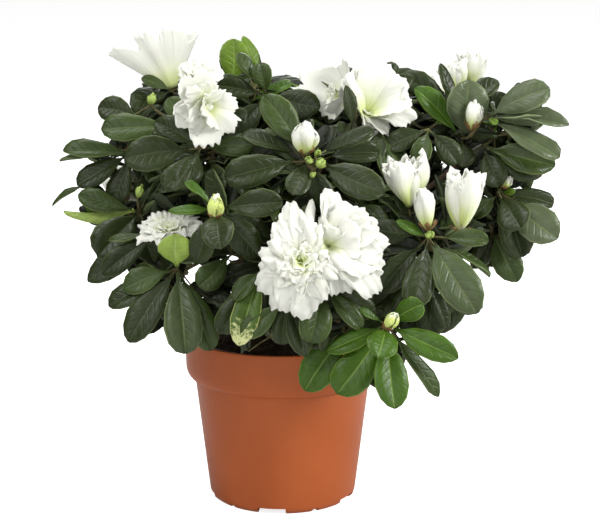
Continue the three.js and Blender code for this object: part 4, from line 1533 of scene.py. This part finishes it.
def makeBlossom():
    brown, paleBrown = (0.115, 0.052, 0.012), (0.24, 0.135, 0.04)
    green, paleGreen = (0.20, 0.30, 0.045), (0.38, 0.48, 0.12)
    finishes = {
        "budScales": streakedFinish("brownScale", brown, paleBrown, (0.5, 0.65), 14, 2),
        "greenBuds": streakedFinish("greenBud", green, paleGreen, (0.4, 0.55), 10, 1.5),
    }
    white = petalFinish()
    for name, part in petalParts.items():
        piece = newPiece(name, part["points"], part["faces"])
        addAttribute(piece.data, "throat", "FLOAT", "POINT", "value", np.array(part["throat"], np.float32))
        givePointUV(piece.data, part["uv"])
        piece.data.materials.append(finishes.get(name, white))
        thicken = piece.modifiers.new("thickness", "SOLIDIFY")
        thicken.thickness = petal["thickness"]
        thicken.offset = 0
        piece.data = frozenMesh(piece)
        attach(piece, "root")
        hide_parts(*foliageNodes)
        print(name, len(piece.data.polygons), "faces")


setLeadBlooms()
setLeadBuds()
leadShootCount = len(shoots)
leadPetals = np.array([point for part in petalParts.values() for point in part["points"][::4]])


# blossom on the sides that face away: mass, azimuth and elevation from its middle, kind, size

restBlooms = [
    ("back_centre_upper", 84, 18, "single", 0.95),
    ("back_left_upper", 118, 28, "double", 0.95),
    ("back_centre_low", 98, 12, "double", 1.0),
    ("back_right_upper", 66, 30, "double", 0.9),
    ("back_right_low", 75, 12, "single", 1.0),
    ("back_left_low", 118, 12, "single", 0.95),
    ("back_left_low", 160, 40, "double", 0.8),
    ("back_right_upper", 15, 12, "single", 0.85),
]
restCups = [  # mass, azimuth, elevation, height, width, kind, scales
    ("back_left_upper", 140, -15, 25, 19, "cup", 5),
    ("back_left_upper", 88, 62, 16, 11, "bud", 5),
    ("back_right_upper", 100, 55, 20, 13, "bud", 6),
    ("back_centre_upper", 130, -5, 26, 18, "cup", 5),
    ("back_right_low", 25, 10, 18, 12, "bud", 5),
    ("back_left_low", 165, 10, 24, 16, "cup", 5),
    ("right_upper", 75, 5, 24, 17, "cup", 5),
    ("left_upper", 100, 0, 18, 11, "bud", 5),
]
heart = np.array((0.01, 0.0, 0.13))  # what the plant grows away from


def makeSolids():
    made = {}
    for node in foliageNodes:
        faces = [list(face.vertices) for face in frame["nodes"][node].data.polygons]
        made[node] = (BVHTree.FromPolygons(nodePoints(node).tolist(), faces), *boxOf(node))
    return made


solids = makeSolids()


def outsideBy(point):
    # how far a point is outside the nearest packed mass of leaves, below zero inside one
    least = 1.0
    for solid, low, high in solids.values():
        if np.any(point < low - 10 * mm) or np.any(point > high + 10 * mm):
            continue
        place, normal, _, distance = solid.find_nearest(Vector(point))
        inside = (Vector(point) - place).dot(normal) < 0
        least = min(least, -distance if inside else distance)
    return least


def wayOf(azimuth, elevation):
    a, e = math.radians(azimuth), math.radians(elevation)
    return np.array((math.cos(a) * math.cos(e), math.sin(a) * math.cos(e), math.sin(e)))


def surfaceAt(node, way):
    # the outermost point of a mass in some direction from its middle
    middle = middleOf(node)
    place = solids[node][0].ray_cast(Vector(middle + way * 0.3), Vector(-way))[0]
    return middle if place is None else np.array(place)


keepClear = []  # foot, heading and radius of the room that leaves leave in front of a bloom


def setRestBlooms():
    for mass, azimuth, elevation, kind, size in restBlooms:
        way = wayOf(azimuth, elevation)
        heading = unit(way + (0, 0, 0.2) + random.uniform(-0.4, 0.4, 3))
        foot = surfaceAt("foliage_" + mass, way) - way * 15 * mm
        fillWhorls(bloomPiece(foot), kind, foot, heading, size * mm)
        addShoot(foot, heading, twigEnd["bloom"])
        keepClear.append((foot, heading, 24 * mm * size))
    for mass, azimuth, elevation, height, width, kind, scales in restCups:
        way = wayOf(azimuth, elevation)
        heading = unit(way * 0.5 + (0, 0, 0.8))
        foot = surfaceAt("foliage_" + mass, way) - way * 11 * mm
        addCup(foot, heading, height * mm, width * mm, kind, scales)
        addShoot(foot, heading, twigEnd["cup"])
        keepClear.append((foot, heading, width * 0.5 * mm))


setRestBlooms()


# filling shoots: the rest of every mass grows by rule, behind what is listed

growth = {
    "shoots": 14,  # tried for each mass, near its surface
    "innerShoots": 9,  # and deeper in it
    "leaves": (7, 10),
    "length": (32, 46),
    "slender": (0.40, 0.50),  # width as a share of the length
    "opening": (98, 48),  # degrees from the shoot, oldest leaf to youngest
    "stagger": 11 * mm,  # from the oldest leaf to the youngest
    "depth": 21 * mm,  # how far the tip of a shoot stays under the surface of its mass
    "overhang": (2.2 * mm, 6.5 * mm),  # how far a leaf may reach out of the masses, in front and behind
    "margin": 1 * mm,  # how far a leaf may reach past the leading leaves in the front view
    "round": 60 * mm,  # how near they have to be to count as all round a place
    "outline": 1 * mm,  # how far past a leading leaf its disc reaches
    "petalDisc": 2.5 * mm,
    "gapSpare": 0.35,  # share of a leaf's width that stays clear of a sky gap
    "leafSpare": 0.42,  # of the leading leaves
    "bloomSpare": 0.3,  # and of a bloom
    "bloomRoom": (-3 * mm, 70 * mm),  # from under the foot of a bloom to well in front of it
    "goldenAngle": 137.5,
    "tints": (("dark", 0.70), ("mid", 0.26), ("fresh", 0.04)),
    "tries": (1.0, 0.84, 0.7),  # lengths that are tried for a leaf that is in the way
}
core = {  # hollows between the masses, where shoots close the crown from above and from the left
    "hollows": (  # shoots, middle, half size
        (20, (0.006, -0.026, 0.212), (0.066, 0.040, 0.022)),
        (14, (-0.035, 0.032, 0.214), (0.045, 0.026, 0.024)),
        (8, (0.086, -0.028, 0.203), (0.030, 0.028, 0.022)),
    ),
    "room": 1.25,  # leaves that start this far out may still reach out of the masses
    "overhang": 26 * mm,
}
# places in the front view where nothing may grow: right and up from the camera's aim, radius
skyGaps = [
    (-112, 43, 5), (-73, -8, 6), (-102, 9, 4), (95, 73, 3), (-99, 140, 20), (-84, 145, 22),
    (-118, 136, 12), (114, 130, 18), (100, 126, 12), (-28, -50, 5), (-10, -52, 7), (8, -51, 7),
    (-113, 114, 6), (77, -62, 6), (-140, 93, 9), (-146, 84, 6), (151, 5, 9), (-143, 19, 8),
    (77, -89, 7), (166, 84, 8), (78, 128, 6), (-16, 134, 7), (-94, -50, 5), (122, -7, 5), (168, 98, 5),
    (-118, -35, 4), (-122, -8, 5), (-156, 36, 4), (-142, 65, 4), (-126, 84, 3), (30, 138, 7),
    (44, 134, 5), (-128, -24, 6), (-57, 134, 5), (109, -44, 5), (82, -82, 6), (73, -74, 4),
    (46, -85, 5),
]


def frontPlace(points):
    # right and up as the camera sees them at the distance of its aim, and how near
    points = np.asarray(points) - view["aim"]
    depth = points @ near
    size = view["distance"] / (view["distance"] - depth)
    return points @ right * size, points @ up * size, depth


def leadCover():
    # discs in the front view that stay uncovered: right, up, how near, radius
    discs = []
    for rows in leafRows.values():
        for base, way, _, length, width, _ in rows:
            for share, wide in ((0.2, 0.30), (0.4, 0.48), (0.6, 0.5), (0.8, 0.36)):
                discs.append((*frontPlace(base + way * length * share), width * wide + growth["outline"]))
    x, y, depth = frontPlace(leadPetals)
    discs += list(zip(x, y, depth, np.full(len(x), growth["petalDisc"])))
    return np.array(discs)


cover = leadCover()


def withinOutline(x, y, half):
    # whether a place in the front view is behind what is listed or has it all round
    apart = np.hypot(cover[:, 0] - x, cover[:, 1] - y)
    if np.any(apart < cover[:, 3] + growth["margin"] - half):
        return True
    close = cover[apart < growth["round"]]
    eighths = np.floor(np.arctan2(close[:, 1] - y, close[:, 0] - x) / math.pi * 4)
    return len(np.unique(eighths)) > 6


def leafFits(base, way, length, width):
    overhang = np.interp(base[1], (0, 30 * mm), growth["overhang"])
    for _, middle, size in core["hollows"]:
        if np.linalg.norm((base - np.array(middle)) / size) < core["room"]:
            overhang = core["overhang"]
    for share in (0.45, 0.75, 1.0):
        if outsideBy(base + way * length * share) > overhang:
            return False
    body = np.array([base + way * length * share for share in (0.25, 0.45, 0.65, 0.85, 1.0)])
    x, y, depth = frontPlace(body)
    if not all(withinOutline(x[k], y[k], width * k * 0.12) for k in (4, 2)):
        return False
    for gapX, gapY, radius in skyGaps:
        if np.any(np.hypot(x - gapX * mm, y - gapY * mm) < radius * mm + width * growth["gapSpare"]):
            return False
    for k, share in enumerate((0.8, 1.0, 1.0, 0.8, 0.2)):
        spare = width * growth["leafSpare"] * share
        covered = np.hypot(cover[:, 0] - x[k], cover[:, 1] - y[k]) < cover[:, 3] + spare
        if np.any(covered & (depth[k] > cover[:, 2] - 2 * mm)):
            return False
    under, front = growth["bloomRoom"]
    for foot, heading, radius in keepClear:
        apart = body - foot
        along = apart @ heading
        across = np.linalg.norm(apart - along[:, None] * heading, axis=1)
        close = across < radius + width * growth["bloomSpare"]
        if np.any((along > under) & (along < front) & close):
            return False
    return True


def growShoot(centre, heading, inner):
    names, shares = zip(*growth["tints"])
    tint = random.choice(names, p=shares)
    # inner shoots take the darkest tint, painted shade for leaves deep in the crown
    tint = "deep" if inner else tint
    count = random.integers(*growth["leaves"])
    side = unit(np.cross(heading, (0.3, 0.2, 0.9)))
    spin = random.uniform(0, 360)
    grown = 0
    for k in range(count):
        share = k / (count - 1)
        low, high = growth["opening"]
        opening = math.radians(low + (high - low) * share + random.uniform(-9, 9))
        around = turnAbout(side, heading, spin + growth["goldenAngle"] * k + random.uniform(-12, 12))
        way = unit(heading * math.cos(opening) + around * math.sin(opening) - np.array((0, 0, 0.10)))
        shortest, longest = growth["length"]
        length = np.interp(share, (0, 0.5, 1), (longest, longest * 0.97, shortest)) * mm
        length = length * random.uniform(0.84, 1.05)
        slender = random.uniform(*growth["slender"])
        face = unit(heading + np.array((0, 0, 0.45)) + random.uniform(-0.18, 0.18, 3))
        shape = random.integers(0, blade["shapes"])
        base = centre - heading * growth["stagger"] * (1 - share) + way * 3.5 * mm
        for scale in growth["tries"]:
            size = length * scale, length * slender * scale
            if leafFits(base, way, *size):
                addLeaf(tint, base, way, face, *size, shape)
                grown += 1
                break
    return grown


def growFilling():
    for node in foliageNodes:
        outward = unit(middleOf(node) - heart)
        total = growth["shoots"] + growth["innerShoots"]
        for k in range(total):
            inner = k >= growth["shoots"]
            height = 1 - 2 * ((k + 0.5) / growth["shoots"] % 1)
            around = math.radians(growth["goldenAngle"] * k) + random.uniform(-0.3, 0.3)
            flat = math.sqrt(1 - height * height)
            way = np.array((math.cos(around) * flat, math.sin(around) * flat, height))
            way = unit(way + random.uniform(-0.15, 0.15, 3))
            if way.dot(outward) < (-0.9 if inner else -0.4):
                continue
            if inner:
                centre = middleOf(node) + (surfaceAt(node, way) - middleOf(node)) * random.uniform(0.1, 0.5)
            else:
                centre = surfaceAt(node, way) - way * growth["depth"] * random.uniform(0.8, 1.3)
            heading = unit(way * 0.8 + outward * 0.45 + (0, 0, 0.3))
            if growShoot(centre, heading, inner) > 2:
                addShoot(centre, heading, twigEnd["leaves"])


def growCore(count, middle, size):
    for k in range(count):
        around = math.radians(growth["goldenAngle"] * k)
        out = np.array((math.cos(around), math.sin(around), 0)) * math.sqrt((k + 0.5) / count)
        centre = middle + size * (out + (0, 0, random.uniform(-1, 1)))
        heading = unit(out * 0.5 + (0, 0, 1) + random.uniform(-0.25, 0.25, 3))
        if growShoot(centre, heading, False) > 2:
            addShoot(centre, heading, twigEnd["leaves"])


growFilling()
for hollow in core["hollows"]:
    growCore(*hollow)
print(len(shoots), "shoots,", sum(len(rows) for rows in leafRows.values()), "leaves")


# closing leaves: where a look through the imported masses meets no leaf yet, one is grown in their depth

closing = {
    # azimuth, elevation, and step of the looks, in mm
    "views": ((-90, 13, 3.6), (-45, 15, 5), (0, 15, 5), (45, 15, 5), (90, 15, 5), (135, 15, 5), (180, 15, 5),
              (-135, 15, 5), (0, 75, 5), (-90, 13, 3.6)),
    "reach": 0.2,  # half the width that is looked at
    "thick": 9 * mm,  # least way through the masses
    "tries": 9,
    "length": (22, 38),
    "depths": (0.3, 0.97),  # share of the way through the masses
    "middle": 0.54,  # where the middle of a leaf is, as a share of its length
    "cover": 0.84,  # share of a leaf's outline that counts as closed
}


def lookFrom(azimuth, elevation):
    toViewer = wayOf(azimuth, elevation)
    across = unit(np.cross((0, 0, 1), toViewer))
    return toViewer, across, np.cross(toViewer, across), np.array(view["aim"]) + toViewer * view["distance"]


def seenFrom(look, points):
    toViewer, across, upward, eye = look
    apart = np.asarray(points) - eye
    size = view["distance"] / -(apart @ toViewer)
    return np.stack([apart @ across * size, apart @ upward * size], axis=-1)


def leafShadow(look, grid, leaf):
    # which points of the grid a leaf covers, as an ellipse
    base, way, face, length, width, _ = leaf
    middle = base + way * length * closing["middle"]
    long, wide = way * length * 0.5, np.cross(way, face) * width * 0.5
    flat = seenFrom(look, [middle, middle + long * closing["cover"], middle + wide * closing["cover"]])
    shape = np.array([flat[1] - flat[0], flat[2] - flat[0]])
    if abs(np.linalg.det(shape)) < 1e-7:
        return np.zeros(len(grid), bool)
    own = (grid - flat[0]) @ np.linalg.inv(shape)
    return (own ** 2).sum(axis=1) < 1


def massesAlong(eye, way):
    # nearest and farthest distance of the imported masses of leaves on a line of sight
    nearest, farthest = 9.0, 0.0
    far = eye + way * 2 * view["distance"]
    for solid, _, _ in solids.values():
        first = solid.ray_cast(Vector(eye), Vector(way))[3]
        if first is not None:
            last = solid.ray_cast(Vector(far), Vector(-way))[3]
            nearest, farthest = min(nearest, first), max(farthest, 2 * view["distance"] - (last or 0))
    return nearest, farthest


def closeGaps(azimuth, elevation, step):
    look = lookFrom(azimuth, elevation)
    toViewer, across, upward, eye = look
    count = int(2 * closing["reach"] / (step * mm))
    ticks = (np.arange(count) - count / 2) * step * mm
    grid = np.stack(np.meshgrid(ticks, ticks, indexing="ij"), axis=-1).reshape(-1, 2)
    closed = np.zeros(len(grid), bool)
    for rows in leafRows.values():
        for leaf in rows:
            closed |= leafShadow(look, grid, leaf)
    petals = seenFrom(look, np.array([point for part in petalParts.values() for point in part["points"]]))
    cells = np.rint((petals - ticks[0]) / (step * mm)).astype(int)
    cells = cells[((cells >= 0) & (cells < count)).all(axis=1)]
    closed[cells[:, 0] * count + cells[:, 1]] = True
    added = 0
    for number in np.flatnonzero(~closed):
        if closed[number]:
            continue
        x, y = grid[number]
        way = unit(np.array(view["aim"]) + across * x + upward * y - eye)
        nearest, farthest = massesAlong(eye, way)
        if farthest - nearest < closing["thick"]:
            continue
        for attempt in range(closing["tries"]):
            middle = eye + way * (nearest + (farthest - nearest) * random.uniform(*closing["depths"]))
            length = random.uniform(*closing["length"]) * mm * (1 - 0.06 * attempt)
            width = length * random.uniform(*growth["slender"])
            tip = unit(middle - heart + random.uniform(-0.05, 0.05, 3))
            tip = unit(tip - toViewer * (tip @ toViewer) * 0.75)
            face = toViewer * random.choice((1, 1, 1, -1)) + (0, 0, 0.35) + random.uniform(-0.3, 0.3, 3)
            base = middle - tip * length * closing["middle"]
            if leafFits(base, tip, length, width):
                # closing leaves mostly take the darkest tint, painted shade for leaves deep in the masses
                tint = random.choice(("deep", "dark"), p=(0.75, 0.25))
                addLeaf(tint, base, tip, face, length, width, random.integers(0, blade["shapes"]))
                addShoot(base, tip, twigEnd["leaf"])
                closed |= leafShadow(look, grid, leafRows[tint][-1])
                added += 1
                break
    print("from", azimuth, elevation, "closed with", added, "leaves")


for azimuth, elevation, step in closing["views"]:
    closeGaps(azimuth, elevation, step)


# twigs, from the boughs to every shoot, and the stalks of the leaves

twig = {
    "from": 0.55,  # share of a bough that twigs grow on
    "thick": 1.5 * mm,
    "thin": 0.85 * mm,
    "stalk": 0.55 * mm,
    "longestStalk": 18 * mm,
    "leaving": 0.6,  # how far it follows the bough that it leaves, and the shoot where it arrives
    "arriving": 0.45,
    "bow": 0.35,  # share of its length that each end bends over
    "longestBow": 9 * mm,
    "tip": 2.5 * mm,
    "inside": 2 * mm,  # how far within the outline of the leaves it stays
    "step": 5 * mm,
    "sides": 6,
    "darkColour": (0.060, 0.042, 0.018),
    "greenColour": (0.105, 0.105, 0.035),
}


def twigTree():
    tree, given = geometryTree("grownTwigs", {"Sides": ("Int", 6), "Finish": ("Material", None)})
    stored = addNode(tree, "GeometryNodeInputNamedAttribute", {"Name": "thickness"}, data_type="FLOAT")
    line = addNode(tree, "GeometryNodeMeshToCurve", {0: given["Geometry"]}).outputs[0]
    ring = addNode(tree, "GeometryNodeCurvePrimitiveCircle", {"Resolution": given["Sides"], "Radius": 1.0})
    tube = addNode(tree, "GeometryNodeCurveToMesh", {
        "Curve": line, "Profile Curve": ring.outputs[0], "Scale": stored.outputs[0], "Fill Caps": True})
    endTree(tree, tube.outputs[0], [(given["Finish"], None)])
    return tree


def twigFinish():
    material, tree, shader = newFinish("twigBark", twig["darkColour"], 0.8, Specular_IOR_Level=0.3)
    blotch, grain = placeGroup(tree, mottle, Blotch_Scale=90, Grain_Scale=900).outputs
    mask = calc(tree, "MULTIPLY_ADD", grain, 0.4, calc(tree, "MULTIPLY", blotch, 0.6))
    colour = blendColours(tree, mask, twig["darkColour"], twig["greenColour"], 0.4, 0.6)
    dress(tree, shader, colour, grain, (0.7, 0.9), grain, 0.3 * mm)
    return material


def growTwigs():
    places, ways = [], []
    for line in boughLines.values():
        start = int(len(line) * twig["from"])
        for k in range(start, len(line) - 1):
            places.append(line[k])
            ways.append(unit(line[k + 1] - line[k]))
    points, edges, thickness = [], [], []

    def addRun(run, radii):
        start = len(points)
        points.extend(run)
        thickness.extend(radii)
        edges.extend((start + k, start + k + 1) for k in range(len(run) - 1))

    joints = []
    for number in sorted(range(len(shoots)), key=lambda k: np.linalg.norm(shoots[k][0] - heart)):
        goal, heading = shoots[number]
        x, y, _ = frontPlace(goal)
        if number >= leadShootCount and not withinOutline(x, y, twig["inside"]):
            continue
        joints.append(goal)
        apart = goal - np.array(places)
        length = np.linalg.norm(apart, axis=1)
        along = (apart * np.array(ways)).sum(axis=1) / np.maximum(length, 1e-6)
        cost = length * (1.5 - 0.5 * along) + np.where(length < 4 * mm, 1.0, 0.0)
        best = int(np.argmin(cost))
        start, way, reach = places[best], ways[best], length[best]
        count = max(4, int(reach / twig["step"]) + 2)
        arrival = unit(heading * twig["arriving"] + unit(goal - start))
        leaving = unit(way * twig["leaving"] + unit(goal - start))
        first = start + leaving * reach * twig["bow"]
        second = goal - arrival * min(reach * twig["bow"], twig["longestBow"])
        run, t = [], np.linspace(0, 1, count)
        for share in t:
            run.append(start * (1 - share) ** 3 + first * 3 * share * (1 - share) ** 2
                       + second * 3 * share ** 2 * (1 - share) + goal * share ** 3)
        run.append(goal + heading * twig["tip"])
        x, y, _ = frontPlace(run)
        if not all(withinOutline(*place, twig["inside"]) for place in zip(x, y)):
            run = list(np.linspace(start, goal, count + 1))  # a bow would hang out of the leaves
        addRun(run, np.r_[np.interp(t, (0, 1), (twig["thick"], twig["thin"])), twig["thin"] * 0.8])
        for k in range(1, count):
            places.append(run[k])
            ways.append(unit(run[k] - run[k - 1]))
    joints = np.array(joints)
    for rows in leafRows.values():
        for base, way, _, length, _, _ in rows:
            nearest = joints[np.argmin(np.linalg.norm(joints - base, axis=1))]
            if np.linalg.norm(nearest - base) < twig["longestStalk"]:
                addRun([nearest, (nearest + base) / 2 + way * 0.6 * mm, base + way * length * 0.05],
                       [twig["stalk"] * 1.3, twig["stalk"], twig["stalk"]])
    piece = newPiece("twigs", points, [])
    piece.data.edges.add(len(edges))
    piece.data.edges.foreach_set("vertices", np.array(edges, np.int32).ravel())
    addAttribute(piece.data, "thickness", "FLOAT", "POINT", "value", np.array(thickness, np.float32))
    runTree(piece, twigTree(), Sides=twig["sides"], Finish=twigFinish())
    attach(piece, "root")
    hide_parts(*foliageNodes)
    print("twigs", len(piece.data.polygons), "faces")


growTwigs()
makeBlossom()
makeSprays()
